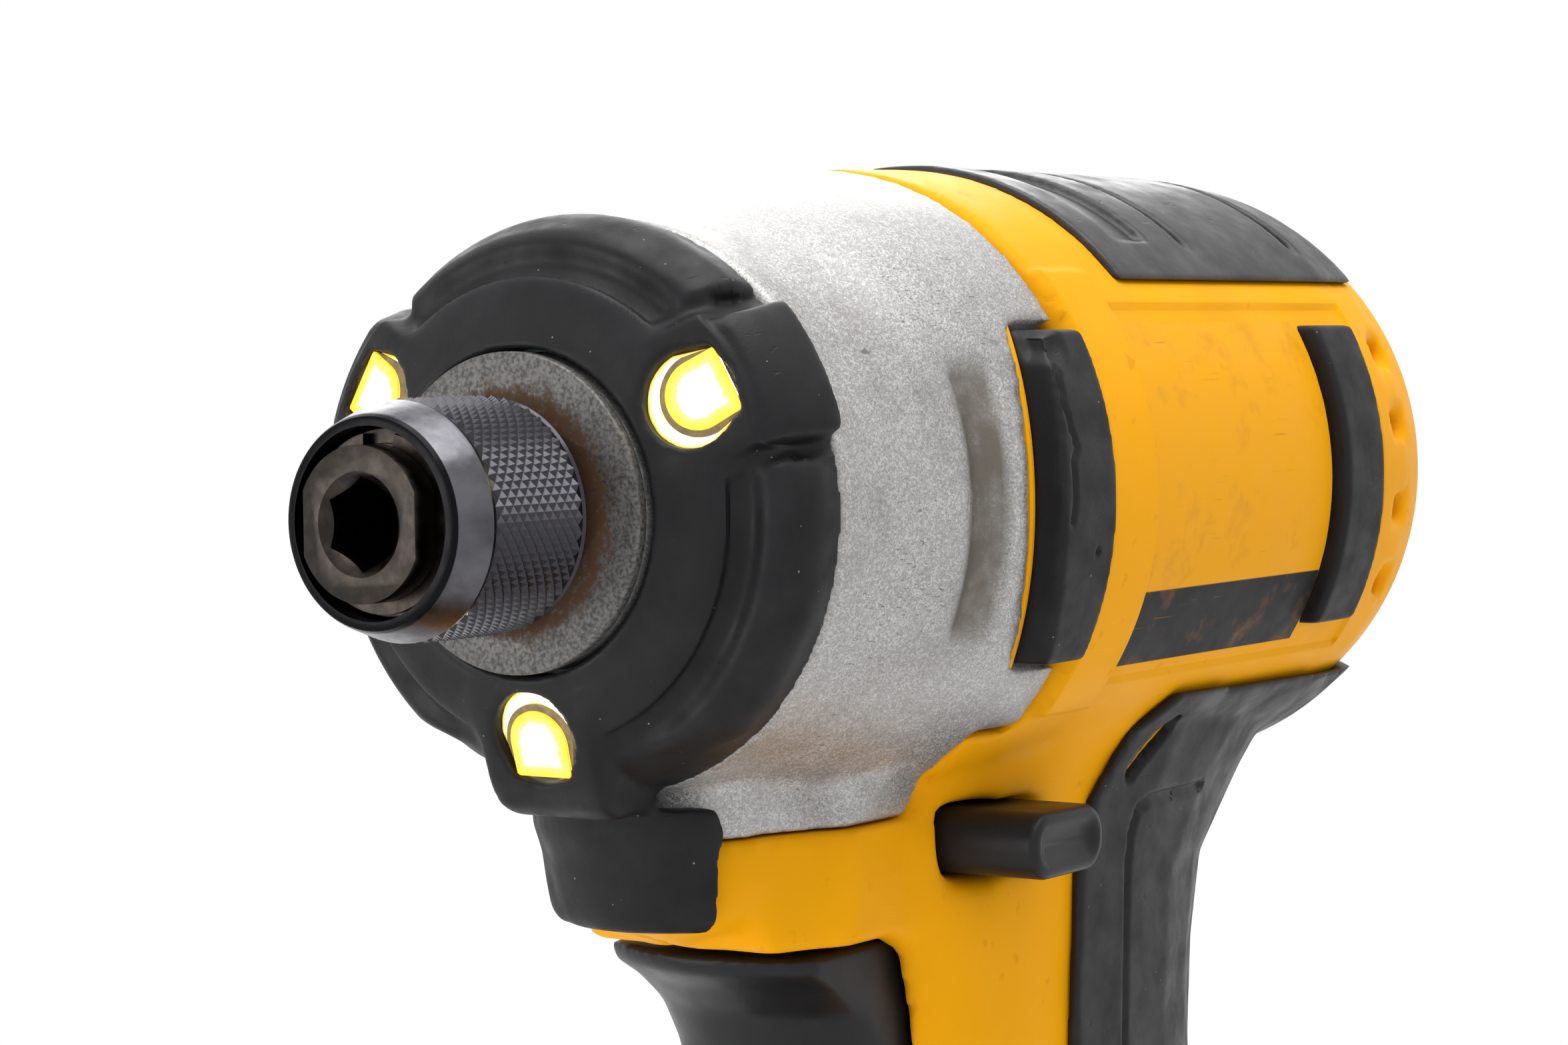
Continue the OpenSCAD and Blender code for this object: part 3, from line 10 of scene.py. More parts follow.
import bmesh
import bpy
from mathutils import Matrix, Vector


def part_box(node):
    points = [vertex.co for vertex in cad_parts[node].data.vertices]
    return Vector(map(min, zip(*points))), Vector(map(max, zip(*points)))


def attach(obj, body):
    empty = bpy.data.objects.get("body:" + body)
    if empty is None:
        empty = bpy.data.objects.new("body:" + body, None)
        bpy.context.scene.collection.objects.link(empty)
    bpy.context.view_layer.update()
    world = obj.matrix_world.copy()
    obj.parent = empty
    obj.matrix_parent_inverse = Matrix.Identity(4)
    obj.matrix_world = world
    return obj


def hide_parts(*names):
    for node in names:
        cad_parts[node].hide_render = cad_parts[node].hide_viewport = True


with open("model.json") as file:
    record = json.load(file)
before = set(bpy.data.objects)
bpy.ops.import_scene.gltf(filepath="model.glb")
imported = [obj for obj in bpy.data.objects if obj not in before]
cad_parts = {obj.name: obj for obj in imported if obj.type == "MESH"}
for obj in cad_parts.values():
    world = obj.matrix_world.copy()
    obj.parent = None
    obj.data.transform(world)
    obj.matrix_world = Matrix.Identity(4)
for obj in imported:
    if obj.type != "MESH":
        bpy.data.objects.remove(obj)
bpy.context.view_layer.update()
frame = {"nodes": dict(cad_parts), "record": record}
MM = 0.001
LOG = logging.getLogger("impact_driver")
RIM = "rim"
FLAT_ANGLE = 0.5
SHARP_ANGLE = 30
SMOOTH = 180

Triple = tuple[float, float, float]
Colour = Triple
Path = tuple[tuple[float, float], ...]
Rings = tuple[Triple, ...]
Socket = bpy.types.NodeSocket
Mesh = bmesh.types.BMesh
Vert = bmesh.types.BMVert


class Body(Enum):
    """Rigid bodies of the tool that pieces ride on."""

    HOUSING = "housing"
    ANVIL = "anvil"
    SLEEVE = "sleeve"
    TRIGGER = "trigger"
    SELECTOR = "selector"
    BATTERY = "battery"
    LATCH = "latch"


class Hand(Enum):
    """Side of the tool, seen by the person who holds it."""

    LEFT = 1
    RIGHT = -1


@dataclass(frozen=True)
class ToolFrame:
    """Tool axis in millimetres: stations run back from the nose, heights run up from the axis."""

    nose_x: float
    axis_z: float

    @classmethod
    def from_nodes(cls) -> "ToolFrame":
        """Reads the nose and the axis height from the anvil and the nose washer.

        Returns:
            The tool frame.
        """
        low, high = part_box("nose_washer")
        return cls(nose_x=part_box("anvil")[1].x / MM, axis_z=(low.z + high.z) / 2 / MM)

    def point(self, back: float, side: float, up: float) -> Vector:
        """Turns a station, a side offset and a height into a point in metres."""
        return Vector((self.nose_x - back, side, self.axis_z + up)) * MM

    def local(self, co: Vector) -> tuple[float, float, float]:
        """Turns a point in metres into its station, side offset and height in millimetres."""
        return self.nose_x - co.x / MM, co.y / MM, co.z / MM - self.axis_z

    def radius(self, co: Vector) -> float:
        """Gives a point's distance from the tool axis in millimetres."""
        return math.hypot(co.y / MM, co.z / MM - self.axis_z)


TOOL = ToolFrame.from_nodes()


@dataclass(frozen=True)
class Zone:
    """Stretch of the tool, alike on both sides, in millimetres."""

    back: tuple[float, float]
    up: tuple[float, float]
    side: tuple[float, float]
    least_radius: float = -1.0

    def holds(self, co: Vector) -> bool:
        """Tells whether a point lies inside.

        Args:
            co: Point in metres.

        Returns:
            Whether the zone holds it.
        """
        back, side, up = TOOL.local(co)
        level = self.back[0] < back < self.back[1] and self.up[0] < up < self.up[1]
        return level and self.side[0] < abs(side) < self.side[1] and TOOL.radius(co) > self.least_radius


def smoothstep(low: float, high: float, value: float) -> float:
    """Eases from 0 at low to 1 at high.

    Args:
        low: Value at which the result is 0.
        high: Value at which the result is 1.
        value: Value to ease.

    Returns:
        A share from 0 to 1.
    """
    t = min(max((value - low) / (high - low), 0.0), 1.0)
    return t * t * (3 - 2 * t)


class Graph:
    """Node graph of one material, with short calls for the nodes that the finishes use."""

    def __init__(self, name: str) -> None:
        """Starts a material with a principled shader.

        Args:
            name: Name of the material.
        """
        self.material = bpy.data.materials.new(name)
        self.material.use_nodes = True
        self.nodes = self.material.node_tree.nodes
        self.links = self.material.node_tree.links
        self.shader = self.nodes["Principled BSDF"]
        self.coords = self.nodes.new("ShaderNodeTexCoord").outputs["Object"]

    def put(self, target: Socket, value: object) -> None:
        """Links a socket to a target, or sets the target's own value.

        Args:
            target: Socket to fill.
            value: Socket to link, or a plain value.
        """
        if isinstance(value, Socket):
            self.links.new(value, target)
        else:
            target.default_value = value

    def set(self, **values: object) -> None:
        """Sets or links the principled shader's sockets, named with underscores for spaces."""
        for key, value in values.items():
            self.put(self.shader.inputs[key.replace("_", " ")], value)

    def stretched(self, scale: Colour, turn: Colour = (0, 0, 0)) -> Socket:
        """Gives object coordinates with a scale and a turn of their own.

        Args:
            scale: Scale along each axis.
            turn: Turn about each axis in radians.

        Returns:
            The coordinate socket.
        """
        node = self.nodes.new("ShaderNodeMapping")
        node.inputs["Scale"].default_value = scale
        node.inputs["Rotation"].default_value = turn
        self.links.new(self.coords, node.inputs["Vector"])
        return node.outputs["Vector"]

    def noise(self, size: float, detail: float = 3.0, vector: Socket | None = None,
              rough: float = 0.55) -> Socket:
        """Gives noise whose features measure about size millimetres.

        Args:
            size: Feature size in millimetres.
            detail: Octaves of finer noise.
            vector: Coordinates, or the object's own.
            rough: Share of the finer octaves.

        Returns:
            The noise value socket.
        """
        node = self.nodes.new("ShaderNodeTexNoise")
        node.inputs["Scale"].default_value = 1 / (size * MM)
        node.inputs["Detail"].default_value = detail
        node.inputs["Roughness"].default_value = rough
        self.links.new(vector or self.coords, node.inputs["Vector"])
        return node.outputs["Fac"]

    def cells(self, size: float) -> tuple[Socket, Socket]:
        """Gives random cells of about size millimetres.

        Args:
            size: Size of a cell in millimetres.

        Returns:
            The distance to the nearest centre and a grey value per cell.
        """
        node = self.nodes.new("ShaderNodeTexVoronoi")
        node.inputs["Scale"].default_value = 1 / (size * MM)
        self.links.new(self.coords, node.inputs["Vector"])
        split = self.nodes.new("ShaderNodeSeparateColor")
        self.links.new(node.outputs["Color"], split.inputs["Color"])
        return node.outputs["Distance"], split.outputs["Red"]

    def span(self, value: Socket, low: float, high: float, to_low: float = 0.0,
             to_high: float = 1.0) -> Socket:
        """Maps a range of values to another range, with its ends held.

        Args:
            value: Value to map.
            low: Start of the range.
            high: End of the range.
            to_low: Result at the start.
            to_high: Result at the end.

        Returns:
            The mapped value socket.
        """
        node = self.nodes.new("ShaderNodeMapRange")
        self.links.new(value, node.inputs["Value"])
        node.inputs["From Min"].default_value = low
        node.inputs["From Max"].default_value = high
        node.inputs["To Min"].default_value = to_low
        node.inputs["To Max"].default_value = to_high
        return node.outputs["Result"]

    def maths(self, operation: str, a: object, b: object = 0.0) -> Socket:
        """Gives the result of a two-value math operation.

        Args:
            operation: Name of the operation.
            a: First value or socket.
            b: Second value or socket.

        Returns:
            The result socket.
        """
        node = self.nodes.new("ShaderNodeMath")
        node.operation = operation
        self.put(node.inputs[0], a)
        self.put(node.inputs[1], b)
        return node.outputs[0]

    def blend(self, share: Socket, a: object, b: object) -> Socket:
        """Mixes one colour towards another.

        Args:
            share: Share of the second colour.
            a: First colour or socket.
            b: Second colour or socket.

        Returns:
            The colour socket.
        """
        node = self.nodes.new("ShaderNodeMix")
        node.data_type = "RGBA"
        self.links.new(share, node.inputs["Factor"])
        for key, value in (("A", a), ("B", b)):
            socket = next(s for s in node.inputs if s.name == key and s.type == "RGBA")
            self.put(socket, value if isinstance(value, Socket) else (*value, 1.0))
        return next(s for s in node.outputs if s.type == "RGBA")

    def bump(self, height: Socket, depth: float, strength: float = 1.0,
             under: Socket | None = None) -> Socket:
        """Turns a height into a bumped normal.

        Args:
            height: Height value socket.
            depth: Depth of the relief in millimetres.
            strength: Strength of the effect.
            under: Normal to add to, if any.

        Returns:
            The normal socket.
        """
        node = self.nodes.new("ShaderNodeBump")
        node.inputs["Strength"].default_value = strength
        node.inputs["Distance"].default_value = depth * MM
        self.links.new(height, node.inputs["Height"])
        if under is not None:
            self.links.new(under, node.inputs["Normal"])
        return node.outputs["Normal"]

    def axis_parts(self) -> tuple[Socket, Socket, Socket]:
        """Gives the object coordinates' three values in metres.

        Returns:
            The X, Y and Z sockets.
        """
        node = self.nodes.new("ShaderNodeSeparateXYZ")
        self.links.new(self.coords, node.inputs["Vector"])
        return node.outputs["X"], node.outputs["Y"], node.outputs["Z"]

    def station(self) -> Socket:
        """Gives the distance back from the nose in millimetres."""
        x, _, _ = self.axis_parts()
        return self.maths("MULTIPLY", self.maths("SUBTRACT", TOOL.nose_x * MM, x), 1 / MM)

    def within(self, value: Socket, low: float, high: float, soft: float) -> Socket:
        """Gives 1 where a value lies between two limits, with soft ends."""
        rise = self.span(value, low - soft, low + soft)
        return self.maths("MULTIPLY", rise, self.span(value, high - soft, high + soft, 1.0, 0.0))

    def rim(self) -> Socket:
        """Gives a lamp piece's own mark of how near a point lies to its edge.

        Returns:
            The mark's socket.
        """
        node = self.nodes.new("ShaderNodeAttribute")
        node.attribute_name = RIM
        return node.outputs["Fac"]

    def axis_distance(self) -> Socket:
        """Gives the distance from the tool axis in millimetres.

        Returns:
            The distance socket.
        """
        _, y, z = self.axis_parts()
        up = self.maths("SUBTRACT", z, TOOL.axis_z * MM)
        square = self.maths("ADD", self.maths("MULTIPLY", y, y), self.maths("MULTIPLY", up, up))
        return self.maths("MULTIPLY", self.maths("SQRT", square), 1 / MM)

    def scratches(self, length: float, width: float, turn: Colour, cut: float) -> Socket:
        """Gives sparse straight scratches as a share.

        Args:
            length: Length of a scratch in millimetres.
            width: Width of a scratch in millimetres.
            turn: Turn of the scratches in radians.
            cut: Noise level above which a scratch shows.

        Returns:
            The share socket.
        """
        lines = self.noise(width, 1.0, self.stretched((width / length, 1.0, 1.0), turn))
        gate = self.noise(9.0, 2.0)
        share = self.span(lines, cut, cut + 0.05)
        return self.maths("MULTIPLY", share, self.span(gate, 0.5, 0.62))


MADE: dict["Finish", bpy.types.Material] = {}


class Finish:
    """One look that is made once and shared by every piece that wears it."""

    def graph(self) -> Graph:
        """Builds the finish's node graph."""
        raise NotImplementedError

    def material(self) -> bpy.types.Material:
        """Gives the finish's material, built at its first use.

        Returns:
            The material.
        """
        if self not in MADE:
            MADE[self] = self.graph().material
        return MADE[self]


@dataclass(frozen=True)
class Moulded(Finish):
    """Moulded plastic with a spark-eroded grain, handling marks and soft grime."""

    name: str
    colour: Colour
    grime: Colour
    grain: float = 0.35
    relief: float = 0.02
    gloss: float = 0.42
    shine: float = 0.25

    def graph(self) -> Graph:
        """Builds grain, grime and scuffs over one plastic colour.

        Returns:
            The node graph.
        """
        g = Graph(self.name)
        cloud = g.span(g.noise(22.0, 4.0), 0.52, 0.78, 0.0, 0.28)
        spots = g.span(g.noise(2.6, 3.0), 0.66, 0.76, 0.0, 0.3)
        marks = g.scratches(9.0, 0.16, (0.3, 0.7, 0.4), 0.7)
        dirt = g.maths("MAXIMUM", cloud, spots)
        base = g.blend(dirt, self.colour, self.grime)
        pale = tuple(min(1.0, c * 1.15 + 0.03) for c in self.colour)
        g.set(Base_Color=g.blend(g.maths("MULTIPLY", marks, 0.45), base, pale))
        g.set(Roughness=g.span(g.noise(6.0, 4.0), 0.3, 0.7, self.gloss - 0.06, self.gloss + 0.12))
        g.set(Specular_IOR_Level=self.shine)
        fine = g.bump(g.noise(self.grain, 2.0), self.relief, 0.55)
        g.set(Normal=g.bump(marks, 0.03, 0.3, fine))
        return g


@dataclass(frozen=True)
class Rubber(Finish):
    """Moulded rubber with a fine grain, lint and a paler worn face."""

    name: str
    colour: Colour
    worn: Colour
    lint: float = 0.6
    gloss: float = 0.5
    shine: float = 0.22

    def graph(self) -> Graph:
        """Builds grain, wear, lint and nicks over dark rubber.

        Returns:
            The node graph.
        """
        g = Graph(self.name)
        wear = g.span(g.noise(7.0, 5.0, rough=0.62), 0.46, 0.74, 0.0, 0.6)
        base = g.blend(wear, self.colour, self.worn)
        distance, pick = g.cells(1.15)
        speck = g.maths("MULTIPLY", g.span(distance, 0.05, 0.085, 1.0, 0.0), g.span(pick, 0.8, 0.82))
        dusty = g.maths("MULTIPLY", speck, self.lint)
        g.set(Base_Color=g.blend(dusty, base, (0.42, 0.4, 0.37)))
        g.set(Roughness=g.span(g.noise(4.0, 4.0), 0.32, 0.7, self.gloss - 0.1, self.gloss + 0.14))
        g.set(Specular_IOR_Level=self.shine)
        nick = g.span(g.noise(1.6, 2.0, g.stretched((0.5, 1.0, 1.6), (0.5, 0.2, 0.9))), 0.7, 0.76, 1.0, 0.0)
        fine = g.bump(g.noise(0.3, 2.0), 0.022, 0.6)
        g.set(Normal=g.bump(nick, 0.12, 0.35, fine))
        return g


@dataclass(frozen=True)
class FlakePaint(Finish):
    """Silver coat with metal flake, scratches through to the casting and brown handling grime."""

    name: str
    colour: Colour
    dark: Colour
    grime: Colour
    bed: tuple[float, float] = (46.8, 51.8)

    def graph(self) -> Graph:
        """Builds flake, scratches, grime and a darker channel floor over a silver coat.

        Returns:
            The node graph.
        """
        g = Graph(self.name)
        _, flake = g.cells(0.11)
        _, coarse = g.cells(0.26)
        glint = g.maths("MULTIPLY", flake, g.span(coarse, 0.2, 0.9, 0.5, 1.0))
        base = g.blend(g.span(glint, 0.05, 0.8), self.dark, self.colour)
        stain = g.span(g.noise(11.0, 5.0, rough=0.65), 0.48, 0.74, 0.0, 0.45)
        # Darkens the channel's floor towards the grime colour, in patches, within its stations and heights on
        # both flanks.
        _, side, z = g.axis_parts()
        level = g.within(z, (TOOL.axis_z - 11.5) * MM, (TOOL.axis_z + 11.5) * MM, 1.2 * MM)
        bed = g.maths("MULTIPLY", g.within(g.station(), *self.bed, 0.5), level)
        flank = g.span(g.maths("ABSOLUTE", side), 0.019, 0.021)
        patch = g.span(g.noise(3.0, 4.0), 0.25, 0.6, 0.55, 0.95)
        channel_darkening = g.maths("MULTIPLY", g.maths("MULTIPLY", bed, flank), patch)
        base = g.blend(g.maths("MAXIMUM", stain, channel_darkening), base, self.grime)
        chips = g.span(g.noise(1.5, 3.0, g.stretched((0.55, 1.0, 1.0), (0.4, 0.3, 0.6))), 0.69, 0.73)
        gate = g.span(g.noise(13.0, 2.0), 0.53, 0.6)
        lines = g.scratches(8.0, 0.17, (0.2, 0.9, 0.5), 0.66)
        worn = g.maths("MAXIMUM", g.maths("MULTIPLY", chips, gate), lines)
        g.set(Base_Color=g.blend(g.maths("MULTIPLY", worn, 0.75), base, (0.11, 0.1, 0.09)))
        g.set(Metallic=g.span(worn, 0.0, 1.0, 0.62, 0.3))
        g.set(Roughness=g.span(flake, 0.0, 1.0, 0.34, 0.58))
        tilt = g.bump(flake, 0.03, 0.35)
        g.set(Normal=g.bump(worn, 0.05, 0.4, tilt))
        return g


@dataclass(frozen=True)
class Washer(Finish):
    """Grey sintered steel, speckled, with rust that gathers round the sleeve."""

    name: str
    colour: Colour
    dark: Colour
    rust: Colour
    rust_from: float
    rust_to: float

    def graph(self) -> Graph:
        """Builds speckle and a ring of rust round the axis.

        Returns:
            The node graph.
        """
        g = Graph(self.name)
        base = g.blend(g.span(g.noise(0.32, 3.0), 0.36, 0.62), self.dark, self.colour)
        near = g.span(g.axis_distance(), self.rust_from, self.rust_to, 0.36, -0.12)
        share = g.span(g.maths("ADD", g.noise(1.0, 5.0, rough=0.7), near), 0.62, 0.86)
        g.set(Base_Color=g.blend(share, base, self.rust))
        g.set(Metallic=g.span(share, 0.0, 1.0, 0.55, 0.05))
        g.set(Roughness=g.span(share, 0.0, 1.0, 0.5, 0.85))
        g.set(Normal=g.bump(g.noise(0.25, 3.0), 0.03, 0.6))
        return g


@dataclass(frozen=True)
class Metal(Finish):
    """Bare or darkened metal with a fine grain and mild staining."""

    name: str
    colour: Colour
    stain: Colour
    gloss: float = 0.28
    stain_size: float = 3.0
    reach: float = 0.6

    def graph(self) -> Graph:
        """Builds stains and grain over one metal.

        Returns:
            The node graph.
        """
        g = Graph(self.name)
        patch = g.span(g.noise(self.stain_size, 4.0), 0.45, 0.75, 0.0, self.reach)
        g.set(Base_Color=g.blend(patch, self.colour, self.stain))
        g.set(Metallic=1.0)
        g.set(Roughness=g.span(g.noise(1.2, 4.0), 0.3, 0.7, self.gloss - 0.06, self.gloss + 0.1))
        g.set(Normal=g.bump(g.noise(0.5, 3.0), 0.012, 0.4))
        return g


@dataclass(frozen=True)
class SleeveWithPaintedReflection(Finish):
    """Dark steel, kept dark partly as a painted reflection of a dark room, with a painted dark reflection on
    its front edge, a rubbed cone and a knurl in the plain dark steel.
    """

    name: str
    steel: Colour
    rubbed: Colour
    painted_dark_reflection: Colour
    edge: float = 1.62
    cone_end: float = 4.9

    def graph(self) -> Graph:
        """Builds the three zones along the sleeve, with rub marks round the axis; the front zone is a painted
        dark reflection.

        Returns:
            The node graph.
        """
        g = Graph(self.name)
        back = g.station()
        smear = g.noise(5.0, 4.0, g.stretched((0.6, 1.0, 1.0)))
        ahead = g.span(back, self.cone_end - 0.2, self.cone_end, 1.0, 0.0)
        cone = g.maths("MULTIPLY", ahead, g.span(smear, 0.36, 0.66))
        base = g.blend(cone, self.steel, self.rubbed)
        # Painted dark reflection: the front edge is made very dark, as if its face mirrored a dark room.
        front = g.span(back, self.edge, self.edge + 0.08, 1.0, 0.0)
        g.set(Base_Color=g.blend(front, base, self.painted_dark_reflection))
        g.set(Metallic=1.0)
        g.set(Roughness=g.span(g.noise(1.2, 4.0), 0.3, 0.7, 0.2, 0.36))
        rings = g.noise(0.09, 1.0, g.stretched((1.0, 0.02, 0.02)))
        g.set(Normal=g.bump(rings, 0.012, 0.5, g.bump(g.noise(0.5, 3.0), 0.012, 0.4)))
        return g


@dataclass(frozen=True)
class Plain(Finish):
    """Inner plastic, board, magnet or wire with a light mottle."""

    name: str
    colour: Colour
    second: Colour
    size: float = 2.0
    gloss: float = 0.45

    def graph(self) -> Graph:
        """Builds a mottle of two near colours.

        Returns:
            The node graph.
        """
        g = Graph(self.name)
        g.set(Base_Color=g.blend(g.span(g.noise(self.size, 3.0), 0.38, 0.66), self.colour, self.second))
        g.set(Roughness=g.span(g.noise(self.size * 2, 3.0), 0.3, 0.7, self.gloss - 0.08, self.gloss + 0.1))
        g.set(Normal=g.bump(g.noise(self.size * 0.3, 2.0), 0.015, 0.4))
        return g


@dataclass(frozen=True)
class Film(Finish):
    """Bare label film: a clear yellow field over a dark band at its foot."""

    name: str
    colour: Colour
    band: Colour
    band_top: float
    grime: Colour
    shine: float = 0.06

    def graph(self) -> Graph:
        """Builds the field and the band, split at a height.

        Returns:
            The node graph.
        """
        g = Graph(self.name)
        _, _, z = g.axis_parts()
        split = (TOOL.axis_z + self.band_top) * MM
        field = g.span(z, split - 0.05 * MM, split + 0.05 * MM)
        base = g.blend(field, self.band, self.colour)
        dirt = g.span(g.noise(5.0, 5.0, rough=0.65), 0.54, 0.78, 0.0, 0.4)
        rubs = g.scratches(7.0, 0.2, (0.1, 0.2, 0.5), 0.7)
        g.set(Base_Color=g.blend(g.maths("MAXIMUM", dirt, g.maths("MULTIPLY", rubs, 0.5)), base, self.grime))
        g.set(Roughness=g.span(g.noise(3.0, 4.0), 0.3, 0.7, 0.34, 0.5))
        g.set(Specular_IOR_Level=self.shine)
        g.set(Normal=g.bump(g.noise(1.4, 3.0), 0.01, 0.3))
        return g


@dataclass(frozen=True)
class Glow(Finish):
    """Lit lamp piece, white-hot in its middle and yellow to its edge."""

    name: str
    core: Colour
    edge: Colour
    hot: float
    warm: float
    middle: Colour = (1.0, 0.78, 0.16)

    def graph(self) -> Graph:
        """Builds the light of the piece from its own edge mark.

        Returns:
            The node graph.
        """
        g = Graph(self.name)
        share = g.maths("ADD", g.rim(), g.span(g.noise(0.9, 3.0), 0.3, 0.7, -0.1, 0.1))
        tint = g.blend(g.span(share, 0.12, 0.55), self.core, self.middle)
        tint = g.blend(g.span(share, 0.5, 1.0), tint, self.edge)
        g.set(Base_Color=tint)
        g.set(Emission_Color=tint)
        g.set(Emission_Strength=g.span(share, 0.05, 0.5, self.hot, self.warm))
        g.set(Roughness=0.25)
        return g


def merged_copy(*nodes: str) -> Mesh:
    """Copies CAD nodes' triangles into one mesh with shared corners.

    Args:
        nodes: Names of the CAD nodes.

    Returns:
        The merged mesh.
    """
    bm = bmesh.new()
    for node in nodes:
        bm.from_mesh(frame["nodes"][node].data)
    bmesh.ops.remove_doubles(bm, verts=bm.verts, dist=0.002 * MM)
    return bm


def reskinned(bm: Mesh, voxel: float, rounds: int) -> Mesh:
    """Gives an even skin over a closed mesh, with its corners eased.

    Args:
        bm: Closed mesh, used up by the call.
        voxel: Size of the skin's cells in millimetres.
        rounds: Rounds of smoothing after the skin is laid.

    Returns:
        The skin.
    """
    mesh = bpy.data.meshes.new("skin_source")
    bm.to_mesh(mesh)
    bm.free()
    holder = bpy.data.objects.new("skin_source", mesh)
    bpy.context.scene.collection.objects.link(holder)
    skin = holder.modifiers.new("skin", "REMESH")
    skin.mode = "VOXEL"
    skin.voxel_size = voxel * MM
    shape = holder.evaluated_get(bpy.context.evaluated_depsgraph_get())
    out = bmesh.new()
    out.from_mesh(shape.data)
    bpy.data.objects.remove(holder)
    bpy.data.meshes.remove(mesh)
    relax(out, out.verts, rounds)
    return out


def relax(bm: Mesh, verts: Iterable[Vert], rounds: int) -> None:
    """Smooths some of a mesh's vertices towards their neighbours, several times over.

    Args:
        bm: Mesh to smooth.
        verts: Vertices that move.
        rounds: Times that they move.
    """
    chosen = list(verts)
    for _ in range(rounds):
        bmesh.ops.smooth_vert(bm, verts=chosen, factor=0.5, use_axis_x=True, use_axis_y=True, use_axis_z=True)


def pressed(bm: Mesh, depth: Callable[[Vert], float]) -> None:
    """Moves a mesh's vertices in along their own normals.

    Args:
        bm: Mesh to press.
        depth: Gives a vertex's own depth in millimetres.
    """
    bm.normal_update()
    moves = [(v, v.normal * (-depth(v) * MM)) for v in bm.verts]
    for vert, move in moves:
        vert.co += move


def path_distance(at: tuple[float, float], path: Path) -> float:
    """Gives a flat point's distance from a chain of straight lines.

    Args:
        at: The point.
        path: Corners of the chain.

    Returns:
        The distance, in the points' own unit.
    """
    here = Vector(at)
    best = math.inf
    for first, second in zip(path, path[1:]):
        start, run = Vector(first), Vector(second) - Vector(first)
        share = min(max((here - start).dot(run) / run.length_squared, 0.0), 1.0)
        best = min(best, (here - start - run * share).length)
    return best


def spun(profile: list[tuple[float, float]], steps: int, arc: tuple[float, float] = (0, 360)) -> Mesh:
    """Turns a closed outline of stations and radii about the tool axis.

    Args:
        profile: Pairs of station and radius in millimetres.
        steps: Steps round the axis.
        arc: First and last angle in degrees, from the top towards the right side.

    Returns:
        The turned mesh.
    """
    bm = bmesh.new()
    first, last = (math.radians(a) for a in arc)
    whole = last - first > 2 * math.pi - 1e-6
    verts = [bm.verts.new(TOOL.point(back, -r * math.sin(first), r * math.cos(first))) for back, r in profile]
    edges = [bm.edges.new(pair) for pair in zip(verts, verts[1:] + verts[:1])]
    bmesh.ops.spin(bm, geom=verts + edges, cent=TOOL.point(0, 0, 0), axis=(1, 0, 0), dvec=(0, 0, 0),
                   angle=last - first, steps=steps, use_merge=whole)
    if not whole:
        bmesh.ops.holes_fill(bm, edges=[e for e in bm.edges if e.is_boundary], sides=0)
    bmesh.ops.recalc_face_normals(bm, faces=bm.faces)
    return bm


def bevel(bm: Mesh, edges: list[bmesh.types.BMEdge], width: float, segments: int) -> None:
    """Rounds some of a mesh's edges.

    Args:
        bm: Mesh to round.
        edges: Edges to round.
        width: Width of the round in millimetres.
        segments: Segments across the round.
    """
    bmesh.ops.bevel(bm, geom=edges, offset=width * MM, offset_type="OFFSET", affect="EDGES",
                    segments=segments, profile=0.5, material=-1, clamp_overlap=True)


def eased(bm: Mesh, width: float, segments: int = 2) -> Mesh:
    """Rounds a mesh's sharp edges.

    Args:
        bm: Mesh to round.
        width: Width of the round in millimetres.
        segments: Segments across the round.

    Returns:
        The same mesh.
    """
    bmesh.ops.dissolve_limit(bm, angle_limit=math.radians(FLAT_ANGLE), verts=bm.verts, edges=bm.edges)
    sharp = [e for e in bm.edges if e.is_manifold and e.calc_face_angle(0.0) > math.radians(SHARP_ANGLE)]
    bevel(bm, sharp, width, segments)
    return bm


def publish(name: str, bm: Mesh, body: Body, finish: Finish, slot: str, *nodes: str,
            crease: float = SMOOTH) -> None:
    """Puts a finished mesh into the scene as a piece of the tool.

    Args:
        name: Name of the piece.
        bm: Mesh, used up by the call.
        body: Body that the piece rides on.
        finish: Look of the piece.
        slot: Material slot of the record; not used.
        nodes: CAD nodes that the piece stands for.
        crease: Angle in degrees above which an edge stays sharp.
    """
    bmesh.ops.recalc_face_normals(bm, faces=bm.faces)
    for face in bm.faces:
        face.smooth = True
    mesh = bpy.data.meshes.new(name)
    bm.to_mesh(mesh)
    bm.free()
    if crease < SMOOTH:
        mesh.set_sharp_from_angle(angle=math.radians(crease))
    piece = bpy.data.objects.new(name, mesh)
    bpy.context.scene.collection.objects.link(piece)
    mesh.materials.append(finish.material())
    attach(piece, body.value)
    if nodes:
        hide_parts(*nodes)
    LOG.info("%s: %d faces", name, len(mesh.polygons))


YELLOW = Moulded("yellow_moulding", (0.92, 0.4, 0.003), (0.5, 0.18, 0.006), 0.4, 0.016, 0.42, 0.05)
RUBBER = Rubber("boot_rubber", (0.0085, 0.0085, 0.0098), (0.021, 0.021, 0.023))
GRIP_RUBBER = Rubber("grip_moulding", (0.0125, 0.0122, 0.0128), (0.026, 0.0255, 0.026), lint=0.35, gloss=0.46)
PAD_RUBBER = Rubber("pad_moulding", (0.018, 0.0172, 0.0178), (0.034, 0.032, 0.033), 0.3, 0.44, 0.45)
BLACK = Moulded("black_moulding", (0.0095, 0.0095, 0.0105), (0.022, 0.021, 0.02), grain=0.3, gloss=0.36)
SILVER = FlakePaint("silver_coat", (0.6, 0.59, 0.58), (0.3, 0.295, 0.29), (0.14, 0.12, 0.095))
WASHER = Washer("nose_steel", (0.165, 0.158, 0.15), (0.06, 0.057, 0.054), (0.085, 0.04, 0.014), 9.6, 12.0)
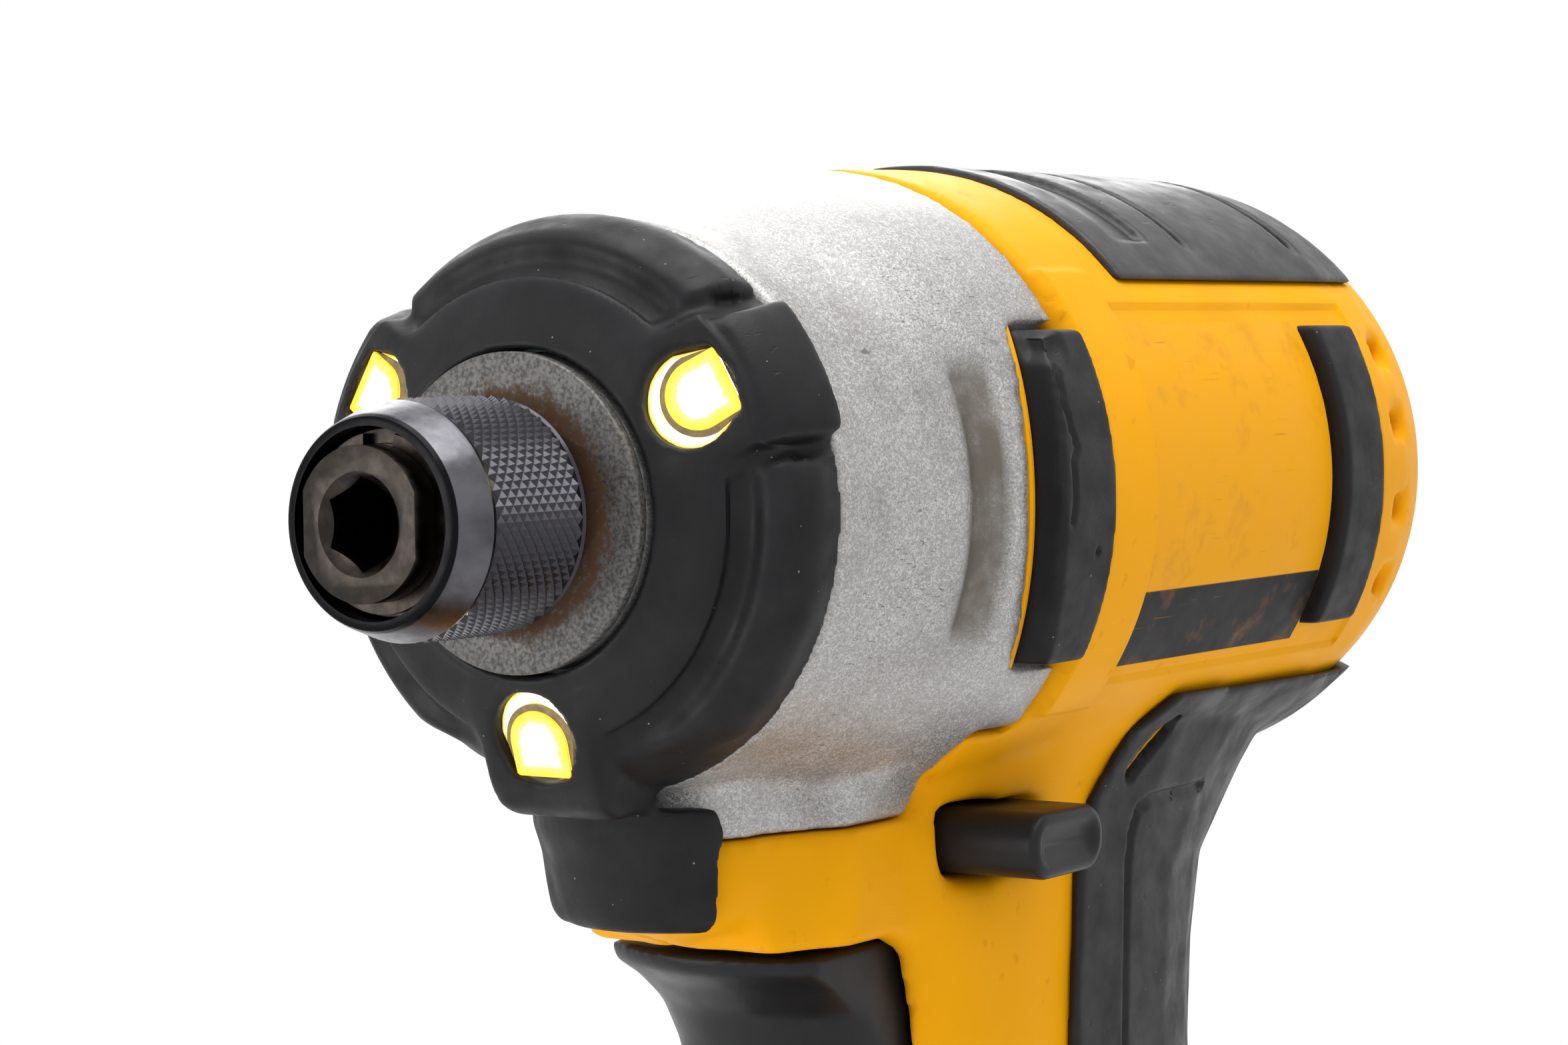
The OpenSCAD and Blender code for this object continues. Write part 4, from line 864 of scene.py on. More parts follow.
# The steel and rubbed colours are kept dark partly as a painted reflection of a dark room; the last colour is
# the front edge's painted dark reflection.
SLEEVE = SleeveWithPaintedReflection("rubbed_steel_painted_reflection", (0.05, 0.048, 0.055), (0.13, 0.127, 0.14), (0.009, 0.009, 0.01))
OXIDE = Metal("black_oxide", (0.03, 0.026, 0.023), (0.07, 0.056, 0.044), gloss=0.3, stain_size=1.6)
LABEL = Film("panel_film", (0.88, 0.385, 0.005), (0.024, 0.023, 0.024), -9.2, (0.45, 0.18, 0.02))
LAMP = Glow("lamp_light", (1.0, 0.97, 0.86), (1.0, 0.52, 0.012), 12.0, 1.05)
BOWL = Glow("lamp_bowl", (1.0, 0.95, 0.72), (0.8, 0.45, 0.02), 1.6, 0.95)
BAND = Plain("lamp_band", (0.2, 0.15, 0.07), (0.34, 0.25, 0.1), 0.8, 0.4)

INNER: dict[str, Finish] = {
    "yellow_plastic": YELLOW,
    "cast_silver": SILVER,
    "black_rubber": RUBBER,
    "black_plastic": BLACK,
    "speckled_steel": WASHER,
    "sleeve_steel": SLEEVE,
    "dark_steel": OXIDE,
    "bright_steel": Metal("bright_steel", (0.55, 0.55, 0.56), (0.4, 0.39, 0.37)),
    "spring_steel": Metal("spring_steel", (0.3, 0.3, 0.31), (0.19, 0.18, 0.17), gloss=0.32),
    "bronze": Metal("sintered_bronze", (0.5, 0.33, 0.16), (0.3, 0.19, 0.09), gloss=0.38),
    "seal_rubber": Plain("seal_rubber", (0.016, 0.016, 0.017), (0.03, 0.03, 0.03)),
    "lamp_lens": LAMP,
    "circuit_board": Plain("board_green", (0.012, 0.075, 0.03), (0.02, 0.11, 0.045), 1.2, 0.35),
    "plate_aluminium": Metal("cast_plate", (0.6, 0.6, 0.61), (0.47, 0.46, 0.45), gloss=0.4),
    "copper": Metal("copper_wire", (0.72, 0.28, 0.12), (0.45, 0.15, 0.06), gloss=0.3, stain_size=1.0),
    "magnet": Plain("ferrite", (0.035, 0.034, 0.033), (0.06, 0.058, 0.056), 1.0, 0.55),
    "carbon": Plain("brush_carbon", (0.02, 0.02, 0.02), (0.045, 0.043, 0.042), 0.6, 0.6),
    "terminal_plastic": Plain("terminal_plastic", (0.12, 0.085, 0.05), (0.16, 0.115, 0.07)),
    "lead_red": Plain("lead_red", (0.42, 0.018, 0.014), (0.33, 0.014, 0.012), 1.5, 0.38),
    "lead_black": Plain("lead_black", (0.015, 0.015, 0.016), (0.028, 0.028, 0.03), 1.5, 0.38),
    "label_film": LABEL,
    "cell_wrap": Plain("cell_wrap", (0.06, 0.16, 0.3), (0.05, 0.13, 0.25), 4.0, 0.3),
    "latch_plastic": YELLOW,
}


@dataclass
class BitHolder:
    """Bit sleeve with its cut knurl, and the anvil's mouth."""

    columns: int = 92
    rows: int = 20
    knurl_span: tuple[float, float] = (5.35, 16.25)
    valley: float = 9.27
    peak: float = 9.69
    nose: Path = (
        (1.2, 7.6), (1.2, 8.05), (1.3, 8.32), (1.58, 8.5),
        (1.9, 8.62), (4.4, 9.44), (4.75, 9.52), (5.1, 9.46))
    tail: Path = (
        (16.5, 9.44), (16.75, 9.3), (16.9, 9.1), (16.9, 8.05),
        (13.1, 8.05), (13.1, 6.2), (9.9, 6.2), (9.9, 7.6))
    anvil_round: float = 0.14

    def build(self) -> None:
        """Builds the sleeve and the anvil."""
        self.sleeve()
        anvil = eased(merged_copy("anvil"), self.anvil_round)
        publish("anvil_body", anvil, Body.ANVIL, OXIDE, "dark_steel", "anvil", crease=32)

    def sleeve(self) -> None:
        """Turns the sleeve and raises its knurl, every second corner of a fine grid."""
        front, rear = self.knurl_span
        step = (rear - front) / self.rows
        grid = [(front + i * step, self.valley) for i in range(self.rows + 1)]
        bm = spun([*self.nose, *grid, *self.tail], self.columns)
        turn = 2 * math.pi / self.columns
        valley = []
        for vert in bm.verts:
            back, side, up = TOOL.local(vert.co)
            row = (back - front) / step
            on_grid = -0.01 < row < self.rows + 0.01 and TOOL.radius(vert.co) > 9
            if not on_grid:
                continue
            column = round(math.atan2(side, up) / turn)
            inner_row = 0.5 < row < self.rows - 0.5
            if (round(row) + column) % 2 == 0 and inner_row:
                share = self.peak / self.valley
                vert.co = TOOL.point(back, side * share, up * share)
            else:
                valley.append(vert)
        bmesh.ops.connect_verts(bm, verts=valley)
        publish("knurled_sleeve", bm, Body.SLEEVE, SLEEVE, "sleeve_steel", "bit_sleeve", crease=22)


@dataclass
class Nose:
    """Rubber boot, nose washer and the three lamps in the boot's ears."""

    ears: tuple[float, ...] = (30, 150, 270)
    window: tuple[float, float] = (21.2, 18.6)
    tilt: float = math.atan2(7.3, 2)
    width: float = 8.0
    end_width: float = 5.8
    reach: float = 3.6
    voxel: float = 0.36
    ear_rounds: int = 16
    end_rounds: int = 6
    washer_round: float = 0.25
    end_share: float = 0.972
    end_gain: float = 0.058
    end_turn: float = 1.8
    chin_cut: tuple[float, float] = (33.75, -26)
    chin_lean: float = 0.1
    chin_proud: float = 0.5
    dome_drop: float = 0.8
    dome_swell: float = 0.9
    arc_steps: int = 48
    bowl_depths: tuple[float, float] = (1.15, 1.6)
    band_depths: tuple[float, float] = (0.85, 1.15)
    lens_depths: tuple[float, float] = (0.62, 1.12)
    band_radius: float = 3.4
    lens_radius: float = 2.85
    lens_shift: float = 0.7
    bowl_rings: Rings = ((0.0, 1.0, 0.9), (0.2, 0.4, 0.8), (0.4, 0.05, 0.25), (0.6, 0.4, 0.0))
    lens_rings: Rings = (
        (0.0, 1.0, 0.0), (0.4, 0.85, 0.0), (0.5, 0.5, 0.0), (0.5, 0.2, 0.0), (0.5, 0.0, 0.0))

    def build(self) -> None:
        """Builds the boot, the washer and the lamps."""
        self.boot()
        washer = eased(merged_copy("nose_washer"), self.washer_round)
        publish("washer_ring", washer, Body.HOUSING, WASHER, "speckled_steel", "nose_washer", crease=40)
        self.lamps()

    def boot(self) -> None:
        """Lays an even rubber skin over the boot, shapes its ears, its dome and its chin, and trims it."""
        bm = reskinned(merged_copy("nose_boot"), self.voxel, 4)
        relax(bm, [v for v in bm.verts if self.by_ear(v.co)], self.ear_rounds)
        for vert in bm.verts:
            self.swell(vert)
        relax(bm, [v for v in bm.verts if self.on_end(v.co)], self.end_rounds)
        pressed(bm, self.dome_step)
        self.trim_chin(bm)
        publish("boot_skin", bm, Body.HOUSING, RUBBER, "black_rubber", "nose_boot", crease=50)

    def trim_chin(self, bm: Mesh) -> None:
        """Cuts the chin's rear edge straight and closes the cut.

        Args:
            bm: Boot.
        """
        faces = [f for f in bm.faces if all(TOOL.local(v.co)[2] < -24.6 for v in f.verts)]
        geom = {*faces, *(e for f in faces for e in f.edges), *(v for f in faces for v in f.verts)}
        back, up = self.chin_cut
        bmesh.ops.bisect_plane(bm, geom=list(geom), dist=1e-6, plane_co=TOOL.point(back, 0, up),
                               plane_no=(-1, 0, self.chin_lean), clear_outer=True)
        bmesh.ops.holes_fill(bm, edges=[e for e in bm.edges if e.is_boundary], sides=0)

    def swell(self, vert: Vert) -> None:
        """Slopes an ear's outer end and turns it a little down, and stands the chin's rear edge proud.

        Args:
            vert: Vertex of the boot.
        """
        back, side, up = TOOL.local(vert.co)
        radius = TOOL.radius(vert.co)
        if up > -20:
            across = self.lateral(vert.co)
            flat = math.sqrt(radius ** 2 - across ** 2) / radius
            slope = self.end_share + self.end_gain * smoothstep(24.5, 30.5, back)
            on_ear = smoothstep(22.4, 24.4, radius) * (1 - smoothstep(7.4, 8.4, across))
            share = 1 + (slope * flat - 1) * on_ear
            near_ear = smoothstep(21.5, 25, radius) * (1 - smoothstep(8.5, 11, across))
            turn = math.radians(self.end_turn) * near_ear
            along, rise = math.cos(turn) * share, math.copysign(math.sin(turn), side) * share
            vert.co = TOOL.point(back, side * along + up * rise, up * along - side * rise)
        elif up < -25.5 and abs(side) > 6:
            out = self.chin_proud * smoothstep(32.2, 34.0, back)
            vert.co = TOOL.point(back, side + math.copysign(out, side), up)

    def lateral(self, co: Vector) -> float:
        """Gives a point's distance from the nearest ear's middle plane in millimetres.

        Args:
            co: Point in metres.

        Returns:
            The distance.
        """
        _, side, up = TOOL.local(co)
        angle = math.degrees(math.atan2(up, side))
        off = min(abs((angle - ear + 180) % 360 - 180) for ear in self.ears)
        return TOOL.radius(co) * math.sin(math.radians(min(off, 89)))

    def by_ear(self, co: Vector) -> bool:
        """Tells whether a point of the boot's outside lies beside an ear, clear of the lamp window."""
        return 4.7 < self.lateral(co) < 10 and TOOL.radius(co) > 15.5 and TOOL.local(co)[0] < 30

    def on_end(self, co: Vector) -> bool:
        """Tells whether a point lies on an ear's outer end or on the chin's rear edge."""
        back, _, up = TOOL.local(co)
        return TOOL.radius(co) > 24.2 and (self.lateral(co) < 7.5 or up < -16) and back > 20

    def dome_step(self, vert: Vert) -> float:
        """Gives how far the dome's outside drops behind the front plate's edge, below 0 where it swells.

        Args:
            vert: Vertex of the boot.

        Returns:
            The depth in millimetres.
        """
        radius = TOOL.radius(vert.co)
        outward = vert.normal.x > 0.1 and TOOL.local(vert.co)[0] > 17
        if not outward or not 19 < radius < 24.5:
            return 0.0
        clear = smoothstep(6.6, 8.0, self.lateral(vert.co)) * smoothstep(-20, -17, TOOL.local(vert.co)[2])
        drop = self.dome_drop * smoothstep(19.2, 19.6, radius) * (1 - smoothstep(20.4, 21.8, radius))
        swell = self.dome_swell * smoothstep(20.8, 22.4, radius) * (1 - smoothstep(23.5, 24.3, radius))
        return clear * (drop - swell)

    def place(self, ear: float, along: float, lateral: float, depth: float) -> Vector:
        """Places a point of a lamp window's own plane on one ear.

        Args:
            ear: Angle of the ear in degrees.
            along: Offset along the window, to its square end.
            lateral: Offset across the window.
            depth: Depth below the window's plane.

        Returns:
            The point in metres.
        """
        cos_t, sin_t = math.cos(self.tilt), math.sin(self.tilt)
        back = self.window[0] + along * cos_t + depth * sin_t
        radius = self.window[1] + along * sin_t - depth * cos_t
        a = math.radians(ear)
        return TOOL.point(back, radius * math.cos(a) - lateral * math.sin(a),
                          radius * math.sin(a) + lateral * math.cos(a))

    def outline(self, radius: float, shift: float, end: float, reach: float) -> list[tuple[float, float]]:
        """Gives a lamp outline, round towards the axis and square at its outer end.

        Args:
            radius: Radius of the round end.
            shift: Offset of the round end's centre along the window.
            end: Half width of the square end.
            reach: Offset of the square end.

        Returns:
            Pairs of along and lateral offsets.
        """
        arc = [math.radians(90 + 180 * k / self.arc_steps) for k in range(self.arc_steps + 1)]
        round_end = [(shift + radius * math.cos(a), radius * math.sin(a)) for a in arc]
        return [*round_end, (reach, -end), (reach, end)]

    def plate(self, bm: Mesh, ear: float, points: list[tuple[float, float]], top: float, bottom: float,
              marks: Rings = ((0.0, 1.0, 0.0),)) -> None:
        """Adds a plate of an outline between two depths of a window, with its edge mark run down inwards.

        Args:
            bm: Mesh to add to.
            ear: Angle of the ear in degrees.
            points: Outline of the plate.
            top: Depth of its outer face.
            bottom: Depth of its inner face.
            marks: Inset, edge mark and lift of each ring at the round end, from the outline inwards.
        """
        home = self.place(ear, 0, 0, 0)
        along = (self.place(ear, 1, 0, 0) - home) / MM
        layer = bm.verts.layers.float.get(RIM) or bm.verts.layers.float.new(RIM)
        face = bm.faces.new([bm.verts.new(self.place(ear, a, l, top)) for a, l in points])
        grown = bmesh.ops.extrude_face_region(bm, geom=[face], use_keep_orig=True)
        moved = [v for v in grown["geom"] if isinstance(v, Vert)]
        drop = self.place(ear, 0, 0, bottom) - self.place(ear, 0, 0, top)
        bmesh.ops.translate(bm, vec=drop, verts=moved)
        lifts: dict[Vert, Vector] = {}
        for inset, value, lift in marks:
            if inset:
                bmesh.ops.inset_region(bm, faces=[face], thickness=inset * MM, use_even_offset=True)
            for vert in face.verts:
                vert[layer] = value
                share = 1 - smoothstep(0.5, 2.2, (vert.co - home).dot(along) / MM)
                lifts[vert] = (home - self.place(ear, 0, 0, lift)) * share
        for vert, step in lifts.items():
            vert.co += step

    def lamps(self) -> None:
        """Builds each lamp's lit bowl, the band round its lens and the lens."""
        bowl, band, lens = bmesh.new(), bmesh.new(), bmesh.new()
        wide, end = self.width / 2, self.end_width / 2
        for ear in self.ears:
            bowl_edge = self.outline(wide - 0.06, 0.0, end, self.reach - 0.3)
            band_edge = self.outline(self.band_radius, self.lens_shift, end - 0.05, self.reach - 0.2)
            lens_edge = self.outline(self.lens_radius, self.lens_shift, end - 0.12, self.reach - 0.06)
            self.plate(bowl, ear, bowl_edge, *self.bowl_depths, self.bowl_rings)
            self.plate(band, ear, band_edge, *self.band_depths)
            self.plate(lens, ear, lens_edge, *self.lens_depths, self.lens_rings)
        publish("lamp_bowls", bowl, Body.HOUSING, BOWL, "lamp_lens", crease=30)
        publish("lamp_bands", band, Body.HOUSING, BAND, "black_plastic", crease=30)
        publish("lamp_lenses", lens, Body.HOUSING, LAMP, "lamp_lens", "led_lenses", crease=30)


@dataclass
class GearCase:
    """Silver gear case with its channel, notches and keel."""

    voxel: float = 0.62
    channel_sink: float = 0.45
    channel: Zone = Zone(back=(45.0, 53.4), up=(-14, 14), side=(20, math.inf))
    keel: Zone = Zone(back=(32, 56), up=(-27.4, -18), side=(-1, 20.5), least_radius=24.6)
    soft_rounds: int = 6

    def build(self) -> None:
        """Lays an even skin over the case and eases its channel and keel."""
        bm = reskinned(merged_copy("gear_case"), self.voxel, 3)
        pressed(bm, self.channel_depth)
        soft = [v for v in bm.verts if self.channel.holds(v.co) or self.keel.holds(v.co)]
        relax(bm, soft, self.soft_rounds)
        publish("gear_case_skin", bm, Body.HOUSING, SILVER, "cast_silver", "gear_case")

    def channel_depth(self, vert: Vert) -> float:
        """Gives how far the channel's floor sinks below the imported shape.

        Args:
            vert: Vertex of the case.

        Returns:
            The depth in millimetres.
        """
        back, side, up = TOOL.local(vert.co)
        if abs(side) < 20 or TOOL.radius(vert.co) < 25 or vert.normal.y * side < 0:
            return 0.0
        along = smoothstep(46.2, 47.0, back) * (1 - smoothstep(51.6, 52.4, back))
        return self.channel_sink * along * (1 - smoothstep(11.6, 12.6, abs(up)))


@dataclass
class Clamshell:
    """Yellow housing halves with their rubber bumpers, grips, top pad and bare labels.

    The flank is the head's outside in front of the rear bumpers. The neck is where the head runs into the
    handle, and the jaw is where its lower front runs into the cheeks by the trigger.
    """

    flank: Zone = Zone(back=(63, 126), up=(-math.inf, math.inf), side=(22, math.inf), least_radius=28)
    neck: Zone = Zone(back=(75, 130), up=(-34, -20), side=(14.2, math.inf), least_radius=27)
    neck_rounds: int = 30
    jaw: Zone = Zone(back=(57, 67), up=(-40, -26), side=(11, math.inf))
    jaw_rounds: int = 20
    voxel: float = 0.8
    panel: tuple[float, float, float, float] = (73.9, 121.7, -17.3, 16.4)
    panel_radius: float = 29.15
    label_bed: float = 28.8
    collar_radius: float = 29.6
    collar_lift: float = 0.45
    seam: Path = (
        (88.2, -88), (88.2, -36), (88.7, -33), (90, -31), (92.4, -30.2), (104, -30.2))
    seam_depth: float = 0.5
    slot: Path = ((87.6, -27.3), (93.4, -23.2))
    slot_depth: float = 1.8
    bow: float = 41.0
    tear: Path = (
        (57.6, 13.4), (56.9, 10.5), (56.5, 8.2), (56.8, 6.0),
        (57.3, 4.3), (56.5, 3.2), (56.4, 0.5), (56.2, -2.0))
    tear_depth: float = 0.4
    hole_depth: float = 0.6
    corner_wear: float = 0.8
    lip_front: float = 54.05
    lip_radii: tuple[float, float] = (27.3, 28.3)
    lip_round: float = 0.2
    lip_bars: tuple[tuple[float, float, float, int], ...] = (
        (54.75, -32.2, 32.2, 40), (58.5, -32.5, -31.95, 2), (58.5, 31.95, 32.5, 2))
    pad_voxel: float = 0.36
    bumper_voxel: float = 0.32
    grip_voxel: float = 0.4
    pinhole: tuple[float, float] = (60.8, -4.8)

    def build(self) -> None:
        """Builds both halves and everything moulded onto them."""
        for hand in Hand:
            self.half(hand)
            self.grip(hand)
            self.tray(hand)
        pad = reskinned(merged_copy("top_pad"), self.pad_voxel, 3)
        publish("top_pad_skin", pad, Body.HOUSING, PAD_RUBBER, "black_rubber", "top_pad")
        for node in ("front_bumpers", "rear_bumpers"):
            bumper = reskinned(merged_copy(node), self.bumper_voxel, 6)
            pressed(bumper, self.bite)
            publish(f"{node}_skin", bumper, Body.HOUSING, RUBBER, "black_rubber", node)

    def half(self, hand: Hand) -> None:
        """Lays an even skin over one half, eases its neck and jaw and sets its side panel and label bed in.

        Args:
            hand: Half to build.
        """
        name = hand.name.lower()
        bm = reskinned(merged_copy(f"{name}_housing"), self.voxel, 2)
        relax(bm, [v for v in bm.verts if self.neck.holds(v.co)], self.neck_rounds)
        relax(bm, [v for v in bm.verts if self.jaw.holds(v.co)], self.jaw_rounds)
        front, rear, low, high = self.panel
        label = self.label_edges()
        for edges in ((front, rear, low, high), (front - 0.5, rear + 0.5, low - 0.5, high + 0.5), label,
                      (label[0] + 0.15, label[1] - 0.15, label[2] + 0.15, label[3] - 0.15)):
            self.cut(bm, edges)
        for vert in bm.verts:
            self.settle(vert, label)
        publish(f"{name}_housing_skin", bm, Body.HOUSING, YELLOW, "yellow_plastic", f"{name}_housing")

    def label_edges(self) -> tuple[float, float, float, float]:
        """Gives the labels' front and rear stations and lower and upper heights, a little inside their edge.

        Returns:
            The four limits in millimetres.
        """
        low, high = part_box("side_labels")
        front, _, top = TOOL.local(high)
        rear, _, foot = TOOL.local(low)
        return front + 0.2, rear - 0.2, foot + 0.2, top - 0.2

    def cut(self, bm: Mesh, edges: tuple[float, float, float, float]) -> None:
        """Cuts the flank along two stations and two heights, so that a step between them is clean.

        Args:
            bm: Housing half.
            edges: Front and rear stations, lower and upper heights.
        """
        front, rear, low, high = edges
        across, level = (1, 0, 0), (0, 0, 1)
        for back, up, normal in ((front, 0, across), (rear, 0, across), (0, low, level), (0, high, level)):
            faces = [f for f in bm.faces if all(self.flank.holds(v.co) for v in f.verts)]
            geom = {*faces, *(e for f in faces for e in f.edges), *(v for f in faces for v in f.verts)}
            bmesh.ops.bisect_plane(bm, geom=list(geom), dist=1e-6, plane_co=TOOL.point(back, 0, up),
                                   plane_no=normal)

    def settle(self, vert: Vert, label: tuple[float, float, float, float]) -> None:
        """Sets a vertex of the flank onto the side panel, the label's bed or the raised collar.

        Args:
            vert: Vertex of the housing half.
            label: Limits of the label's bed.
        """
        if not self.flank.holds(vert.co):
            return
        back, side, up = TOOL.local(vert.co)
        radius = TOOL.radius(vert.co)
        aim = radius
        front, rear, low, high = self.panel
        if front - 0.01 < back < rear + 0.01 and low - 0.01 < up < high + 0.01:
            aim = min(aim, self.panel_radius)
        if label[0] + 0.14 < back < label[1] - 0.14 and label[2] + 0.14 < up < label[3] - 0.14:
            aim = min(aim, self.label_bed)
        if back < front - 0.49 and radius > 29.2:
            lift = self.collar_lift * smoothstep(64.2, 65.4, back) * smoothstep(-22, -19, up)
            aim = max(aim, self.collar_radius + lift)
        vert.co = TOOL.point(back, side * aim / radius, up * aim / radius)

    def bite(self, vert: Vert) -> float:
        """Gives how deep a bumper is torn, pricked or worn at a vertex.

        Args:
            vert: Vertex of a bumper.

        Returns:
            The depth in millimetres.
        """
        back, _, up = TOOL.local(vert.co)
        rip = self.tear_depth * (1 - smoothstep(0.1, 0.45, path_distance((back, up), self.tear)))
        hole = self.hole_depth * (1 - smoothstep(0.2, 0.4, math.dist((back, up), self.pinhole)))
        corner = self.corner_wear * (1 - smoothstep(0.6, 2.6, math.dist((back, up), self.tear[0])))
        return max(rip, hole, corner) * smoothstep(28.4, 29.2, TOOL.radius(vert.co))

    def tray(self, hand: Hand) -> None:
        """Frames the front bumper with the thin yellow lip that it is moulded into.

        Args:
            hand: Side of the lip.
        """
        middle = -90 * hand.value
        front, cut = self.lip_front, self.lip_round
        low, high = self.lip_radii
        whole = bmesh.new()
        for rear, first, last, steps in self.lip_bars:
            profile = [(front, low), (rear, low), (rear, high - cut), (rear - cut, high), (front + cut, high),
                       (front, high - cut)]
            bar = bpy.data.meshes.new("tray_bar")
            part = spun(profile, steps, (middle + first, middle + last))
            for vert in part.verts:
                back, side, up = TOOL.local(vert.co)
                vert.co = TOOL.point(back + self.bow - math.sqrt(self.bow ** 2 - up ** 2), side, up)
            part.to_mesh(bar)
            part.free()
            whole.from_mesh(bar)
            bpy.data.meshes.remove(bar)
        publish(f"{hand.name.lower()}_tray", whole, Body.HOUSING, YELLOW, "yellow_plastic", crease=40)

    def grip(self, hand: Hand) -> None:
        """Lays an even rubber skin over one grip panel, with the seam of its inner field and a slanted slot.

        Args:
            hand: Side of the grip.
        """
        node = f"{hand.name.lower()}_grip"
        bm = reskinned(merged_copy(node), self.grip_voxel, 4)
        pressed(bm, self.grip_depth)
        publish(f"{node}_skin", bm, Body.HOUSING, GRIP_RUBBER, "black_rubber", node)

    def grip_depth(self, vert: Vert) -> float:
        """Gives the depth of the seam and the slot at a vertex of a grip.

        Args:
            vert: Vertex of the grip.

        Returns:
            The depth in millimetres.
        """
        back, side, up = TOOL.local(vert.co)
        if vert.normal.y * side <= 0 or back > 106:
            return 0.0
        seam = self.seam_depth * (1 - smoothstep(0.2, 0.6, path_distance((back, up), self.seam)))
        slot = self.slot_depth * (1 - smoothstep(0.65, 0.95, path_distance((back, up), self.slot)))
        return max(seam, slot)


@dataclass
class Controls:
    """Trigger, its spring and the direction selector."""

    trigger_voxel: float = 0.42
    corner: float = 2.85
    section_points: int = 40
    brim_round: float = 0.8
    pressed_share: float = 0.58
    dish: Path = ((0.35, 0.0), (0.5, 0.35), (0.6, 0.25), (0.5, 0.12))

    def build(self) -> None:
        """Builds the trigger, its spring and the selector."""
        self.coil()
        trigger = reskinned(merged_copy("trigger"), self.trigger_voxel, 8)
        publish("trigger_skin", trigger, Body.TRIGGER, BLACK, "black_plastic", "trigger")
        self.selector()

    def coil(self) -> None:
        """Draws the trigger's spring at its pressed length, so that it stays behind the trigger's face."""
        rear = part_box("trigger_spring")[0].x
        bm = merged_copy("trigger_spring")
        for vert in bm.verts:
            vert.co.x = rear + (vert.co.x - rear) * self.pressed_share
        publish("trigger_coil", bm, Body.HOUSING, INNER["spring_steel"], "spring_steel", "trigger_spring")

    def selector(self) -> None:
        """Builds the selector bar from a rounded section, with its two thumb faces dished."""
        low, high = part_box("selector_bar")
        middle = (low + high) / 2
        half = (high - low) / 2
        round_x = min(half.x, half.z, self.corner * MM)
        points = []
        for turn in range(self.section_points):
            a = 2 * math.pi * (turn + 0.5) / self.section_points
            x = math.copysign(half.x - round_x, math.cos(a)) + round_x * math.cos(a)
            z = math.copysign(half.z - round_x, math.sin(a)) + round_x * math.sin(a)
            points.append(Vector((middle.x + x, low.y, middle.z + z)))
        bm = bmesh.new()
        near = bm.faces.new([bm.verts.new(p) for p in points])
        grown = bmesh.ops.extrude_face_region(bm, geom=[near], use_keep_orig=True)
        moved = [v for v in grown["geom"] if isinstance(v, Vert)]
        bmesh.ops.translate(bm, vec=(0, 2 * half.y, 0), verts=moved)
        bmesh.ops.recalc_face_normals(bm, faces=bm.faces)
        ends = [f for f in bm.faces if abs(f.normal.y) > 0.99]
        brims = [e for f in ends for e in f.edges]
        bevel(bm, brims, self.brim_round, 4)
        bm.normal_update()
        many = self.section_points / 2
        for face in [f for f in bm.faces if abs(f.normal.y) > 0.99 and len(f.verts) > many]:
            inward = -face.normal
            for inset, depth in self.dish:
                bmesh.ops.inset_region(bm, faces=[face], thickness=inset * MM, use_even_offset=True)
                bmesh.ops.translate(bm, vec=inward * depth * MM, verts=list(face.verts))
        publish("selector_skin", bm, Body.SELECTOR, BLACK, "black_plastic", "selector_bar", crease=50)


@dataclass
class Pack:
    """Battery pack with eased edges, and its latch."""

    case_round: float = 1.4
    cover_round: float = 0.5

    def build(self) -> None:
        """Builds the pack's case, its cover and the latch."""
        case = eased(merged_copy("battery_case"), self.case_round, 3)
        publish("pack_case", case, Body.BATTERY, BLACK, "black_plastic", "battery_case", crease=40)
        cover = eased(merged_copy("battery_cover"), self.cover_round)
        publish("pack_cover", cover, Body.BATTERY, BLACK, "black_plastic", "battery_cover", crease=40)
        latch = eased(merged_copy("battery_latch"), self.cover_round)
        publish("latch_button", latch, Body.LATCH, YELLOW, "latch_plastic", "battery_latch", crease=40)


@dataclass
class Internals:
    """CAD nodes that are shown as they are, each in its own finish."""

    def dress(self) -> None:
        """Gives every node that no piece stands for the finish of its material slot."""
        for part in frame["record"]["subparts"]:
            materials = frame["nodes"][part["node"]].data.materials
            materials.clear()
            materials.append(INNER[part["material_slot"]].material())


